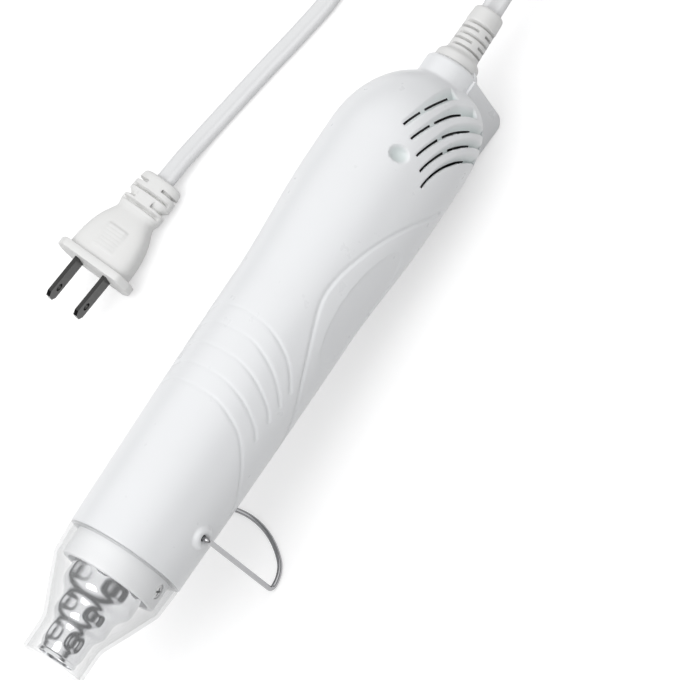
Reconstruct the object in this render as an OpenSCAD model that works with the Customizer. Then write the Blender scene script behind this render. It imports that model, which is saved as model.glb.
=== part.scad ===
// Hand-held embossing heat tool, standing on its wire stand with its lead put away beside it.
// The tool is drawn along its own axis (+X to the tail, +Z to the back) and then set on the floor.

/* [Housing] */
// Radius of the barrel at its front edge
barrel_front_r = 21; // [20.8:0.1:21.2]
// Radius of the barrel in the middle
barrel_r = 22.3; // [22:0.1:22.5]
// Radius of the head
head_r = 24.5; // [24.2:0.1:24.8]
// Where the head's dome starts, from the front edge
dome_start = 160; // [159:0.5:161]
// Length of the dome
dome_len = 32; // [31.5:0.5:32.5]
// Wall thickness of the moulded shells
wall = 2; // [1.8:0.1:2.2]
// Width of the front cover between its two seams
cover_w = 21.6; // [21.4:0.1:21.8]
// Depth of the relief lines in the grip
grip_depth = 0.7; // [0.4:0.1:0.9]

/* [Switch platform] */
// Rear face of the platform, from the front edge
platform_rear = 196; // [195.5:0.1:196.5]
// Height of the platform over the axis at its rear
platform_h = 27; // [26.5:0.1:27.5]
// Height of the platform over the axis at its front
platform_front_h = 24.2; // [24:0.1:24.6]
// Radius of the platform's rear corner
platform_corner = 5.5; // [5:0.1:6]
// Middle of the switch, from the front edge
switch_x = 166.3; // [166:0.1:167]
// Tilt of the rocker to each side
rocker_tilt = 10; // [8:1:10]

/* [Vents] */
// Centre of the vents' arcs along the axis
vent_x = 153.5; // [153:0.1:154]
// Centre of the vents' arcs, towards the back
vent_z = -12.5; // [-13:0.1:-12]
// Radius of the innermost vent
vent_r = 20.4; // [20:0.1:21]
// Step from one vent to the next
vent_step = 4.1; // [4:0.1:4.2]
// Width of a vent's slot
vent_w = 1.2; // [1:0.1:1.4]
// Width of the hollow above a slot
scoop_w = 2; // [1.6:0.1:2.2]

/* [Nozzle end] */
// Outer radius of the collar
collar_r = 17.4; // [17.3:0.1:17.5]
// How far the collar stands out of the housing
collar_out = 10.2; // [10:0.1:10.5]
// Radius of the nozzle's first stage
nozzle_r = 13.2; // [13:0.1:13.2]
// Distance of the nozzle's mouth from the housing
nozzle_out = 40.2; // [39.5:0.1:40.5]
// Thickness of the nozzle's wall
nozzle_wall = 0.8; // [0.7:0.1:0.9]
// Radius of the guard's mouth
guard_mouth_r = 11.4; // [11.2:0.1:11.8]
// Distance of the guard's mouth from the housing
guard_out = 42; // [41.5:0.5:42.5]
// Thickness of the guard's wall
guard_wall = 1.2; // [1:0.1:1.3]

/* [Stand] */
// Diameter of the stand's wire
wire_d = 1.8; // [1.6:0.1:2]
// Height of the hinge over the foot
stand_leg = 46; // [45:0.5:47]
// Distance of the hinge from the front edge
pivot_x = 17.3; // [17:0.1:18]
// Distance of each leg from the axis
stand_half = 24.3; // [24.2:0.1:24.6]
// Lean of the legs towards the nozzle
stand_lean = 2.7; // [2:0.1:3]

/* [Motor and fan] */
// Radius of the motor's can
motor_r = 13.8; // [13:0.1:14]
// Radius of the impeller
fan_r = 17.5; // [16:0.5:18]
// Number of blades on the impeller
fan_blades = 11; // [9:1:13]

/* [Lead] */
// Width of the flat twin lead
lead_w = 7.7; // [7.4:0.1:7.8]
// Thickness of the flat twin lead
lead_t = 3.9; // [3.6:0.1:4]
// Distance between turns of the coil
coil_pitch = 7.2; // [7:0.1:7.6]
// Inner radius of the coil at the lead's middle
coil_r = 36; // [35:0.5:37]

/* [Plug] */
// Width of the plug's flange
plug_w = 32; // [31:0.5:33]
// Height of the plug's flange
plug_h = 15; // [14:0.5:15]
// Distance between the two blades
blade_gap = 12.7; // [12.7:0.1:12.8]
// Length of the blades
blade_len = 17; // [16:0.5:18]

/* [Hidden] */
fine = 72;
fit = 0.05;
neck_r = 9.75;
neck_end = 199;
waist_x = 98;
swell_end = 145;
cover_half = cover_w / 2;
wire_r = wire_d / 2;
relief_end = 220.5;
relief_turn = 35;

// Angle of the platform's face to the axis, and where the platform starts
platform_start = 146;
platform_slope = atan((platform_h - platform_front_h) / (platform_rear - platform_corner - platform_start));

// The tool stands on the foot of its stand and on the platform's rear corner
rest_long = platform_rear - platform_corner - pivot_x;
rest_high = platform_h - platform_corner;
incline = asin((stand_leg + wire_r - platform_corner) / norm([rest_long, rest_high])) - atan2(rest_high, rest_long);
axis_z = pivot_x * sin(incline) + stand_leg + wire_r;
shift_x = -88.4;
pivot_row = [shift_x + pivot_x * cos(incline), 0, stand_leg + wire_r];

// Coil of the put-away lead: two layers, wound in on the floor and out again on top
coil_x = 198;
coil_y = 47;
coil_lift = 0.7;
coil_low = coil_lift + lead_w / 2;
coil_high = coil_low + lead_w + 0.5;
coil_half_turns = 990;
coil_rings = 24;

// Plug: the end of its strain relief, and the way its blades point
plug_end = [34.5, 97.7, 5.2];
plug_yaw = 175;
plug_rise = 7.9;
plug_roll = 15;
flange_t = 3.2;
plug_len = 40.2;

// Lead from the tool to the coil, from the strain relief's mouth
lead_start = [shift_x + relief_end * cos(incline), 0, axis_z - relief_end * sin(incline)];
tool_route = [lead_start, [140, 0, 22.6], [150, -0.3, 20.5], [160, -1.2, 16.6], [170, -2.6, 11.6],
    [180, -4.4, 7.3], [189, -6, 5.1], [coil_x, coil_y - coil_r - 2.5 * coil_pitch, coil_low]];
// Lead from the coil to the plug, lying flat where it is on the floor
plug_route = [[coil_x, coil_y + coil_r + 2.5 * coil_pitch, coil_high], [186, 99.6, 12.3],
    [173, 94.8, 11], [160, 87.6, 8.6], [147, 81, 5.8], [134, 77.6, 3.4], [120, 77.6, 2.2],
    [104, 81.5, 2], [87, 86.6, 2], [70, 91.4, 2], [56, 94.9, 2.4], [45, 96.7, 3.8], plug_end];

function smooth(t) = t * t * (3 - 2 * t);

function body_r(x) = x < waist_x
    ? barrel_front_r + (barrel_r - barrel_front_r) * sin(90 * x / waist_x)
    : x < swell_end
        ? barrel_r + (head_r - barrel_r) * smooth((x - waist_x) / (swell_end - waist_x))
        : head_r;

// Half outline [x, radius] of the housing at a depth under its surface, from x0 to the dome's top
function skin_outline(depth, x0) = concat(
    [[x0, 0], [x0, body_r(x0) - depth]],
    [for (x = [12 : 10.75 : 151]) if (x > x0 + 1) [x, body_r(x) - depth]],
    [for (a = [0 : 9 : 90])
        [dome_start + (dome_len - depth) * pow(sin(a), 0.8), (head_r - depth) * pow(cos(a), 0.8)]]);

function unit(v) = v / norm(v);

// Solid of revolution about the tool's axis from a half outline of [x, radius] points
module turned(outline, fn = fine) {
    rotate([0, 90, 0])
        rotate_extrude($fn = fn)
            polygon([for (p = outline) [p[1], p[0]]]);
}

module disc(x0, x1, r, fn = fine) {
    translate([x0, 0, 0]) rotate([0, 90, 0]) cylinder(h = x1 - x0, r = r, $fn = fn);
}

module tube(x0, x1, r_out, r_in) {
    difference() {
        disc(x0, x1, r_out);
        disc(x0 - 1, x1 + 1, r_in);
    }
}

module skin(depth, x0) {
    turned(skin_outline(depth, x0));
}

module both_sides() {
    children();
    mirror([0, 1, 0]) children();
}

// Sets a piece drawn along the tool's axis where the tool stands
module in_row() {
    translate([shift_x, 0, axis_z]) rotate([0, incline, 0]) children();
}

// Frame on the platform's face at the switch: x to the tail, z out of the face
module on_platform() {
    height = platform_front_h + (switch_x - platform_start) * tan(platform_slope);
    translate([switch_x, 0, -height]) rotate([180, 0, 0]) rotate([0, -platform_slope, 0]) children();
}

// Part of a ring in the side view, between two angles measured from the back towards the tail
module side_arc(r_in, r_out, from, to) {
    translate([vent_x, 0, vent_z])
        rotate([-90, 0, 0])
            rotate([0, 0, from - 90])
                rotate_extrude(angle = to - from, $fn = 144)
                    translate([r_in, 0]) square([r_out - r_in, 40]);
}

// The five vents of a side: where they start on the near and the far side, where they end,
// and the rib that crosses all but the innermost
vent_from = [-4, 6, 11.5, 17.5, 22];
vent_from_far = [-4, 6, 11.5, 38, 45];
vent_to = [84, 80, 76, 62, 55];
rib_at = 33.5;

module vent_slot(i, from) {
    r = vent_r + i * vent_step;
    half_rib = 60 / r;
    if (i == 0) {
        side_arc(r - vent_w / 2, r + vent_w / 2, from, vent_to[i]);
    } else {
        if (from < rib_at - half_rib)
            side_arc(r - vent_w / 2, r + vent_w / 2, from, rib_at - half_rib);
        side_arc(r - vent_w / 2, r + vent_w / 2, max(from, rib_at + half_rib), vent_to[i]);
    }
}

module vent_scoop(i, from) {
    r = vent_r + i * vent_step;
    side_arc(r + vent_w / 2 - 0.1, r + vent_w / 2 + scoop_w, from + 3, vent_to[i] + 1);
}

// Depth of a vent's hollow under the surface
scoop_depth = 0.9;

module side_vents(starts) {
    for (i = [0 : 4]) vent_slot(i, starts[i]);
    difference() {
        for (i = [0 : 4]) vent_scoop(i, starts[i]);
        skin(scoop_depth, 140);
    }
}

module vents() {
    mirror([0, 1, 0]) side_vents(vent_from);
    side_vents(vent_from_far);
}

// Relief lines pressed into the grip: rings tilted to the axis, shallow on the back
grip_lines = [[47, 24], [55.5, 22], [63, 20], [70.5, 18], [77.5, 16]];

module grip_relief() {
    difference() {
        for (line = grip_lines)
            translate([line[0], 0, 0])
                rotate([0, -line[1], 0])
                    disc(-0.45, 0.45, 30);
        skin(grip_depth, 30);
        translate([0, -30, -60]) cube([120, 60, 58]);
    }
}

// Hollowed oval pad on each side of the grip, and the line that swoops over it
pad_x = 108;
pad_half = 21;
pad_depth = 1.1;
swoosh_r = 56;
swoosh_z = -42.4;

module side_relief() {
    pad_r = pad_half * pad_half / (2 * pad_depth);
    both_sides()
        translate([pad_x, -body_r(pad_x) + pad_depth - pad_r, -25]) cylinder(h = 50, r = pad_r, $fn = 96);
    difference() {
        translate([pad_x, 0, swoosh_z]) rotate([90, 0, 0])
            difference() {
                cylinder(h = 70, r = swoosh_r + 0.4, center = true, $fn = 96);
                cylinder(h = 72, r = swoosh_r - 0.4, center = true, $fn = 96);
            }
        skin(grip_depth - 0.1, 30);
        translate([50, -40, -100]) cube([120, 80, 91]);
    }
}

// Solid housing before it is parted into shell and cover
module housing_wall() {
    difference() {
        union() {
            skin(0, 0);
            turned([[188.4, 0], [188.4, neck_r], [196.6, neck_r], [197.6, neck_r - 0.3],
                [198.5, neck_r - 0.9], [neck_end, neck_r - 1.7], [neck_end, 0]]);
        }
        difference() {
            skin(wall, wall);
            disc(188.4, neck_end, 13);
        }
        disc(-1, wall + 1, collar_r + fit);
        disc(180, neck_end + 1, 5 + fit);
    }
}

module cover_zone() {
    translate([-1, -cover_half, -40]) cube([platform_rear + 10, cover_w, 40]);
}

screw_at = [156.2, -15];

module shell_screw_place() {
    translate([screw_at[0], screw_at[1], 0]) children();
}

// Posts in the shell to which the lead's clamp is screwed
clamp_x = 179.5;

module clamp_places() {
    for (side = [-1, 1]) translate([clamp_x, side * 6, 0]) children();
}

// Half rings inside the shell that hold the heater's base and the motor's mount
module inner_rib(x0, x1, r_in) {
    intersection() {
        difference() {
            disc(x0, x1, body_r(x0) - 1);
            disc(x0 - 1, x1 + 1, r_in);
        }
        translate([x0 - 1, -30, -10]) cube([x1 - x0 + 2, 60, 45]);
    }
}

module pivot_boss() {
    translate([pivot_x, 0, 0])
        rotate([90, 0, 0])
            translate([0, 0, 18.6])
                rotate_extrude($fn = 48)
                    polygon([[0, 0], [4, 0], [4, 3.1], [3.6, 3.9], [2.8, 4.3], [0, 4.3]]);
}

module main_shell() {
    color("whitesmoke")
        in_row()
            difference() {
                union() {
                    difference() {
                        housing_wall();
                        cover_zone();
                        vents();
                        grip_relief();
                        side_relief();
                    }
                    both_sides() pivot_boss();
                    inner_rib(33.3, 35.3, 16.8);
                    inner_rib(39.3, 41.3, 16.8);
                    inner_rib(105.8, 107.8, 18);
                    inner_rib(122.2, 124.2, 18);
                    intersection() {
                        shell_screw_place() cylinder(h = 24, r = 3.2, $fn = 32);
                        skin(0.3, 140);
                    }
                    clamp_places() translate([0, 0, -3.2]) cylinder(h = 20, r = 2.4, $fn = 32);
                    translate([clamp_x - 1.2, -6, 3.2]) cube([2.4, 12, 14]);
                }
                clamp_places() translate([0, 0, -4]) cylinder(h = 10, r = 1.2, $fn = 32);
                rotate([90, 0, 0])
                    translate([pivot_x, 0, -30])
                        cylinder(h = 60, r = wire_r + fit, $fn = 48);
                shell_screw_place() {
                    translate([0, 0, -1]) cylinder(h = 30, r = 1.6, $fn = 32);
                    translate([0, 0, 12]) cylinder(h = 30, r = 1.9 + 0.9, $fn = 32);
                }
            }
}

// Side view of the platform, from a depth under its faces
module platform_side(depth) {
    c = platform_corner;
    drop = depth / cos(platform_slope);
    polygon(concat(
        [[platform_start + depth * 2, 4], [platform_start + depth * 2, -platform_front_h + drop]],
        [for (a = [-90 : 15 : 0])
            [platform_rear - c + (c - depth) * cos(a), -platform_h + c + (c - depth) * sin(a)]],
        [[platform_rear - depth, 4]]));
}

module platform_block(depth) {
    edge = 1.6;
    half = cover_half - depth;
    intersection() {
        rotate([90, 0, 0]) linear_extrude(height = 2 * half + 2, center = true) platform_side(depth);
        translate([platform_start, 0, -platform_front_h])
            rotate([0, platform_slope, 0])
                rotate([90, 0, 90])
                    translate([0, 0, -20])
                        linear_extrude(height = 100)
                            polygon(concat(
                                [[-half, 60]],
                                [for (a = [180 : 22.5 : 270])
                                    [-half + edge + edge * cos(a), edge + depth - 0.15 + edge * sin(a)]],
                                [[-half + edge, -5], [half - edge, -5]],
                                [for (a = [270 : 22.5 : 360])
                                    [half - edge + edge * cos(a), edge + depth - 0.15 + edge * sin(a)]],
                                [[half, 60]]));
    }
}

// Inner edge of the cover that laps behind the shell along each seam
module lap() {
    both_sides() {
        intersection() {
            difference() {
                skin(1.5, 10);
                skin(3.3, 8);
            }
            translate([10, 9.2, -30]) cube([128, 1.5, 30]);
        }
        intersection() {
            difference() {
                skin(wall + 0.15, 10);
                skin(3.3, 8);
            }
            translate([10, 10.6, -30]) cube([128, 1.8, 30]);
        }
    }
}

switch_hole = [19.4, 13.2];

module front_cover() {
    color("whitesmoke")
        in_row()
            difference() {
                union() {
                    intersection() {
                        union() {
                            housing_wall();
                            difference() {
                                platform_block(0);
                                disc(180, neck_end + 1, 5 + fit);
                                difference() {
                                    skin(wall, wall);
                                    disc(188.4, neck_end, 13);
                                }
                            }
                        }
                        cover_zone();
                    }
                    lap();
                    translate([154.2, -10.6, -22.5]) cube([4, 3.6, 12.5]);
                    translate([154.2, -14.2, -16.4]) cube([4, 3.7, 6.4]);
                    shell_screw_place() translate([0, 0, -10]) cylinder(h = 9.9, r = 3.2, $fn = 32);
                }
                difference() {
                    platform_block(wall);
                    disc(186, neck_end, neck_r);
                    translate([150, -12, -1.5]) cube([60, 24, 10]);
                    translate([153, -12, -23]) cube([6, 24, 24]);
                }
                on_platform()
                    translate([-switch_hole[0] / 2, -switch_hole[1] / 2, -18])
                        cube([switch_hole[0], switch_hole[1], 30]);
                shell_screw_place() translate([0, 0, -9]) cylinder(h = 12, r = 1.2, $fn = 32);
            }
}

module shell_screw() {
    color("silver")
        in_row()
            shell_screw_place() {
                translate([0, 0, -8]) cylinder(h = 20, r = 1.2, $fn = 32);
                translate([0, 0, 12]) cylinder(h = 1.8, r = 2.6, $fn = 32);
            }
}

// Collar that stands out of the housing and holds the nozzle with two set screws
screw_turn = 100;
screw_x = -4.5;

module collar_screw_places() {
    for (side = [-1, 1])
        translate([screw_x, 0, 0]) rotate([side * screw_turn, 0, 0]) children();
}

module nozzle_collar() {
    color("white")
        in_row()
            difference() {
                turned([[-collar_out, 15.3], [-collar_out, collar_r - 0.5],
                    [-collar_out + 0.5, collar_r], [2.2, collar_r], [2.2, 18.8], [4.2, 18.8],
                    [4.2, collar_r], [8, collar_r], [8, 15.3], [-2, 15.3],
                    [-2, nozzle_r + fit], [-7, nozzle_r + fit], [-7, 15.3]]);
                collar_screw_places() {
                    cylinder(h = 30, r = 1.4, $fn = 32);
                    translate([0, 0, 15.9]) cylinder(h = 5, r = 2.7, $fn = 32);
                }
            }
}

module collar_screws() {
    color("silver")
        in_row()
            collar_screw_places() {
                translate([0, 0, nozzle_r]) cylinder(h = 3, r = 1.4, $fn = 32);
                translate([0, 0, 15.9]) cylinder(h = 1.4, r = 2.6, $fn = 32);
            }
}

// Stepped nozzle of thin metal: three stages, each with six pressed dents
mouth_r = 6.5;

function nozzle_outline(t) = [
    [1, nozzle_r - t], [-15.6, nozzle_r - t], [-17.6, nozzle_r - 0.9 - t], [-19.4, 10.6 - t],
    [-21, 10 - t], [-25.2, 10 - t], [-27, 9.6 - t], [-29, 8 - t], [-30.4, 7.7 - t],
    [-36, 7.7 - t], [-38, 7 - t], [-38.8, mouth_r + 0.3 - t], [-39.1, mouth_r + 0.6 - t],
    [-nozzle_out, mouth_r + 0.6 - t]];

// Each row of dents: middle along the axis, length, nozzle's radius there
dent_rows = [[-12.9, 4.8, 13.2], [-23.1, 3.6, 10], [-33.2, 4.8, 7.7]];
dent_depth = 0.55;

module nozzle() {
    color("gainsboro")
        in_row()
            difference() {
                union() {
                    turned(concat(nozzle_outline(0),
                        [for (i = [len(nozzle_outline(0)) - 1 : -1 : 0]) nozzle_outline(nozzle_wall)[i]]));
                    tube(-2, -1.2, 15.1, nozzle_r - 0.2);
                }
                for (row = dent_rows, turn = [7 : 60 : 359])
                    rotate([turn, 0, 0])
                        translate([row[0] - row[1] / 2, -5, row[2] - dent_depth])
                            cube([row[1], 10, 4]);
            }
}

module nozzle_retainer() {
    color("silver") in_row() tube(-1.2, 1, 15.25, nozzle_r + fit);
}

module outlet_cross() {
    color("silver")
        in_row()
            intersection() {
                for (turn = [45, 135])
                    rotate([turn, 0, 0]) translate([-38.2, -7, -0.3]) cube([2, 14, 0.6]);
                disc(-38.5, -36, 6.3);
            }
}

// Clear guard over collar and nozzle
module nozzle_guard() {
    r = guard_mouth_r;
    w = guard_wall;
    color([0.85, 0.87, 0.88, 0.45])
        in_row()
            turned([[0, collar_r + 0.1], [0, barrel_front_r - 0.1], [-1.4, barrel_front_r - 0.1],
                [-10.8, 20.3], [-11.9, 20], [-12.8, 19.4], [-20, 16.3], [-27, 13.1], [-29.8, 12],
                [-32, r], [-guard_out, r], [-guard_out, r - w], [-32, r - w],
                [-29.8, 12 - w], [-27, 13.1 - w], [-20, 16.3 - w - 0.1], [-12.8, 19.4 - w - 0.1],
                [-11.9, 20 - w], [-10.8, 20.3 - w], [-1.4, barrel_front_r - 0.1 - w],
                [-1.4, collar_r + 0.1]]);
}

// Heater inside the barrel
module mica_sleeve() {
    color("khaki") in_row() tube(-11, 36, 12.2, 11.6);
}

module heater_core() {
    color("khaki")
        in_row()
            for (turn = [0, 90])
                rotate([turn, 0, 0])
                    difference() {
                        translate([-9, -7.5, -0.4]) cube([45, 15, 0.8]);
                        if (turn == 90) translate([-10, -0.4, -1]) cube([47, 0.8, 2]);
                    }
}

// Points of a tube around a line: rings of the given cross-section points
module swept(rings) {
    n = len(rings[0]);
    last = len(rings) - 1;
    polyhedron(
        points = [for (ring = rings, p = ring) p],
        faces = concat(
            [[for (k = [0 : n - 1]) k]],
            [for (i = [0 : last - 1], k = [0 : n - 1])
                [i * n + k, (i + 1) * n + k, (i + 1) * n + (k + 1) % n]],
            [for (i = [0 : last - 1], k = [0 : n - 1])
                [i * n + k, (i + 1) * n + (k + 1) % n, i * n + (k + 1) % n]],
            [[for (k = [n - 1 : -1 : 0]) last * n + k]]));
}

heater_turns = 6;
heater_wire_r = 0.5;

module heating_coil() {
    steps = heater_turns * 12;
    color("dimgray")
        in_row()
            swept([for (i = [0 : steps])
                let (a = i * 30, x = -5 + 34 * i / steps, r = 7.85 + heater_wire_r)
                [for (k = [0 : 5])
                    let (out = r + heater_wire_r * cos(60 * k))
                    [x + heater_wire_r * sin(60 * k), out * cos(a), out * sin(a)]]]);
}

module thermal_cutout() {
    color("silver")
        in_row()
            translate([20, 2.4, 2.4]) rotate([0, 90, 0]) cylinder(h = 10, r = 2, $fn = 32);
}

module heater_base() {
    color("lightgray")
        in_row()
            difference() {
                disc(36.1, 39.2, 18);
                for (turn = [45 : 90 : 359]) rotate([turn, 0, 0]) translate([30, 0, 14]) disc(0, 12, 2.4, 32);
                disc(30, 45, 7);
            }
}

// Motor and its mount
module motor_mount() {
    color("lightgray")
        in_row()
            difference() {
                disc(108, 122, 19.1);
                disc(107, 123, motor_r + fit);
                for (turn = [0 : 60 : 359])
                    rotate([turn, 0, 0]) translate([100, -6.2, 15.3]) cube([30, 12.4, 2.8]);
            }
}

module motor_can() {
    color("silver")
        in_row()
            difference() {
                turned([[104, 0], [104, motor_r], [134.5, motor_r], [136, motor_r - 1.5], [136, 4],
                    [138.5, 4], [138.5, 0]]);
                disc(100, 140, 1.2, 32);
            }
}

module motor_end_cap() {
    color("ivory")
        in_row()
            difference() {
                union() {
                    disc(100.5, 104, motor_r - 0.4);
                    disc(98.8, 100.5, 4);
                    for (side = [-1, 1]) translate([94.4, side * 9 - 1.4, -0.3]) cube([6.4, 2.8, 0.6]);
                }
                disc(100, 105, 1.2, 32);
            }
}

module rectifier_board() {
    color("seagreen")
        in_row()
            difference() {
                union() {
                    disc(95, 96.6, 13);
                    for (side = [-1, 1], z = [-6, 6])
                        translate([92.4, side * 4 - 2.2, z]) rotate([-90, 0, 0]) cylinder(h = 4.4, r = 1.3, $fn = 32);
                    for (side = [-1, 1], z = [-6, 6], end = [-1.8, 1.4])
                        translate([92.3, side * 4 + end, z - 0.3]) cube([3, 0.4, 0.6]);
                }
                for (side = [-1, 1]) translate([94, side * 9 - 1.6, -0.5]) cube([4, 3.2, 1]);
            }
}

module suppressor_capacitor() {
    color("goldenrod")
        in_row() translate([88.5, -3.5, -2]) cube([6.5, 7, 4]);
}

module fan_shaft() {
    color("silver") in_row() disc(100.6, 151, 1.15, 32);
}

module fan_impeller() {
    color("dimgray")
        in_row()
            difference() {
                union() {
                    disc(141, 142.4, fan_r);
                    disc(141, 150.5, 4.2);
                    for (i = [0 : fan_blades - 1])
                        rotate([i * 360 / fan_blades, 0, 0])
                            intersection() {
                                translate([142, 0, 11])
                                    difference() {
                                        disc(0, 7.6, 9.6);
                                        disc(-1, 9, 8.6);
                                    }
                                translate([141, 0, 4]) cube([10, 20, 13]);
                                disc(141, 151, fan_r - 0.2);
                            }
                }
                disc(140, 152, 1.15, 32);
            }
}

// Rocker switch in the platform
window = [18.8, 11.4];
bezel = [21, 16, 1.6];
rocker_axis_z = 0.4;

module switch_body() {
    color("gray")
        in_row()
            on_platform()
                difference() {
                    union() {
                        translate([-bezel[0] / 2, -bezel[1] / 2, 0.02]) cube(bezel);
                        translate([-9.6, -6.5, -13]) cube([19.2, 13, 13.1]);
                    }
                    translate([-window[0] / 2, -window[1] / 2, -6]) cube([window[0], window[1], 10]);
                    translate([0, 6.2, rocker_axis_z]) rotate([90, 0, 0]) cylinder(h = 12.4, r = 1.25, $fn = 32);
                }
}

module switch_rocker() {
    color("dimgray")
        in_row()
            on_platform()
                translate([0, 0, rocker_axis_z])
                    rotate([0, rocker_tilt, 0]) {
                        rotate([90, 0, 0])
                            linear_extrude(height = 10.9, center = true)
                                polygon([[-8.8, 2.6], [-8.4, 2.9], [0, 1.2], [8.4, 2.9], [8.8, 2.6],
                                    [8.6, -0.6], [5, -2.8], [0, -3.6], [-5, -2.8], [-8.6, -0.6]]);
                        rotate([90, 0, 0]) cylinder(h = 12.2, r = 1.2, center = true, $fn = 32);
                    }
}

module switch_terminals() {
    color("darkgoldenrod")
        in_row()
            on_platform()
                for (x = [-5, 0]) translate([x - 0.4, -2.4, -19]) cube([0.8, 4.8, 6]);
}

// Insulated wires that run along the barrel between board, heater and switch
module inner_wires() {
    color("firebrick")
        in_row()
            for (side = [-1, 1]) {
                translate([39.2, side * 8, 8]) rotate([0, 90, 0]) cylinder(h = 55.8, r = 0.9, $fn = 32);
                translate([126.5, side * 14.6, 10]) rotate([0, 90, 0]) cylinder(h = 13, r = 0.9, $fn = 32);
            }
}

// Strain relief: a spool held in the neck, then a sleeve cut by rings of grooves
groove_w = 1.2;
groove_depth = 1.7;
groove_step = 2.35;

module strain_relief() {
    color("gainsboro")
        in_row()
            difference() {
                turned([[185.9, 0], [185.9, 6.9], [188.4, 6.9], [188.4, 5], [neck_end, 5],
                    [neck_end, 7.4], [199.6, 7.95], [201.2, 7.95], [202.3, 7.2], [202.6, 5.8],
                    [214.6, 5.6], [215, 5.7], [219.7, 5.5], [relief_end, 4.9], [relief_end, 0]]);
                rotate([relief_turn, 0, 0])
                    for (i = [0 : 4])
                        difference() {
                            tube(203.6 + i * groove_step, 203.6 + i * groove_step + groove_w, 7, 5.7 - groove_depth);
                            rotate([i % 2 * 90, 0, 0]) translate([200, -1.4, -8]) cube([20, 2.8, 16]);
                        }
                rotate([relief_turn, 0, 0]) flat_lead(184, relief_end + 2, fit);
            }
}

// Straight piece of flat lead, or with a gap the hole for it
module flat_lead(x0, x1, gap) {
    half = (lead_w - lead_t) / 2;
    translate([x0, 0, 0])
        rotate([90, 0, 90])
            linear_extrude(height = x1 - x0) {
                square([2 * half, lead_t + 2 * gap], center = true);
                translate([half, 0]) circle(d = lead_t + 2 * gap, $fn = 32);
                translate([-half, 0]) circle(d = lead_t + 2 * gap, $fn = 32);
            }
}

module cord_clamp() {
    color("lightgray")
        in_row()
            difference() {
                translate([clamp_x - 2.5, -8.4, -6.4]) cube([5, 16.8, 3.2]);
                clamp_places() translate([0, 0, -8]) cylinder(h = 10, r = 1.25, $fn = 32);
            }
}

module clamp_screws() {
    color("silver")
        in_row()
            clamp_places() {
                translate([0, 0, -6.4]) cylinder(h = 11, r = 1.2, $fn = 32);
                translate([0, 0, -7.9]) cylinder(h = 1.5, r = 2.2, $fn = 32);
            }
}

// Part of the lead inside the housing and the strain relief
module lead_inner() {
    color("white") in_row() rotate([relief_turn, 0, 0]) flat_lead(173, relief_end, 0);
}

// Wire stand: pins in the housing, two leaning legs and a level foot bent in three arcs
foot_corner = 11;
foot_turn = 42.7;
bend = 1.2;
foot_bend = 2;
leg_way = [-sin(stand_lean), 0, -cos(stand_lean)];
leg_side = [cos(stand_lean), 0, -sin(stand_lean)];
leg_len = (stand_leg - foot_bend - foot_bend * sin(stand_lean)) / cos(stand_lean);
crown_r = foot_corner + (stand_half - foot_corner) / sin(foot_turn);

// Half of the stand's wire, from one pin to the middle of the foot, as rings of points
function stand_half_rings() =
    let (out = [0, -1, 0], pin_end = [0, -stand_half + bend, 0], top = pin_end + bend * leg_way,
        turn = [0, -stand_half, 0] + leg_len * leg_way + foot_bend * leg_side,
        corner = [turn[0], -stand_half + foot_corner, -stand_leg],
        crown = corner - (crown_r - foot_corner) * [cos(foot_turn), -sin(foot_turn), 0])
    concat(
        [wire_ring(pin_end - 0.6 * out, out, leg_side, 0.6)],
        [for (a = [15 : 25 : 90])
            wire_ring(top + bend * (out * sin(a) - leg_way * cos(a)), out * cos(a) + leg_way * sin(a),
                leg_side, wire_r)],
        [for (a = [0 : 0.2 : 1])
            let (t = a * (90 + stand_lean))
            wire_ring(turn + foot_bend * (leg_way * sin(t) - leg_side * cos(t)),
                leg_way * cos(t) + leg_side * sin(t), leg_side * cos(t) - leg_way * sin(t), wire_r)],
        [for (i = [1 : 6])
            let (a = -90 + (90 - foot_turn) * i / 6)
            wire_ring(corner + foot_corner * [cos(a), sin(a), 0], [-sin(a), cos(a), 0], [0, 0, 1], wire_r)],
        [for (i = [4 : -1 : 0])
            let (a = -foot_turn * i / 5)
            wire_ring(crown + crown_r * [cos(a), sin(a), 0], [-sin(a), cos(a), 0], [0, 0, 1], wire_r)]);

function wire_ring(p, way, side, r) =
    let (other = cross(side, way)) [for (k = [0 : 30 : 359]) p + r * (side * cos(k) + other * sin(k))];

module stand_wire() {
    half = stand_half_rings();
    last = len(half) - 1;
    color("silver")
        translate(pivot_row) {
            swept(concat(half, [for (i = [last - 1 : -1 : 0]) [for (p = half[i]) [p[0], -p[1], p[2]]]]));
            both_sides()
                translate([0, -stand_half + bend + 4.2, 0])
                    rotate([90, 0, 0]) cylinder(h = 4.2, r = wire_r, $fn = 48);
        }
}

// Cross-section of the twin lead in its width and thickness, two lobes with a groove between
lead_section = [for (s = [1, -1], k = [-1 : 1 : 2])
    let (a = 45 * k - 22.5, lobe = lead_w / 2 - lead_t / 2)
    [s * (lobe + lead_t / 2 * cos(a) * 1.04), s * lead_t / 2 * sin(a) * 1.04]];
coil_section = [[0.5, 0], [0.3, 0.5], [-0.3, 0.5], [-0.5, 0], [-0.3, -0.5], [0.3, -0.5]];

// Ring of points round a place on the lead; roll turns its width from level towards upright
function lead_ring(p, way, roll, section) =
    let (side = unit(cross(way, [0, 0, 1])), up = cross(side, way),
        wide = side * cos(roll) + up * sin(roll), thick = up * cos(roll) - side * sin(roll))
    [for (q = section) p + wide * q[0] + thick * q[1]];

function route_way(route, i) = i == 0
    ? unit(route[1] - route[0])
    : i == len(route) - 1 ? unit(route[i] - route[i - 1]) : unit(unit(route[i + 1] - route[i]) + unit(route[i] - route[i - 1]));

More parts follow.
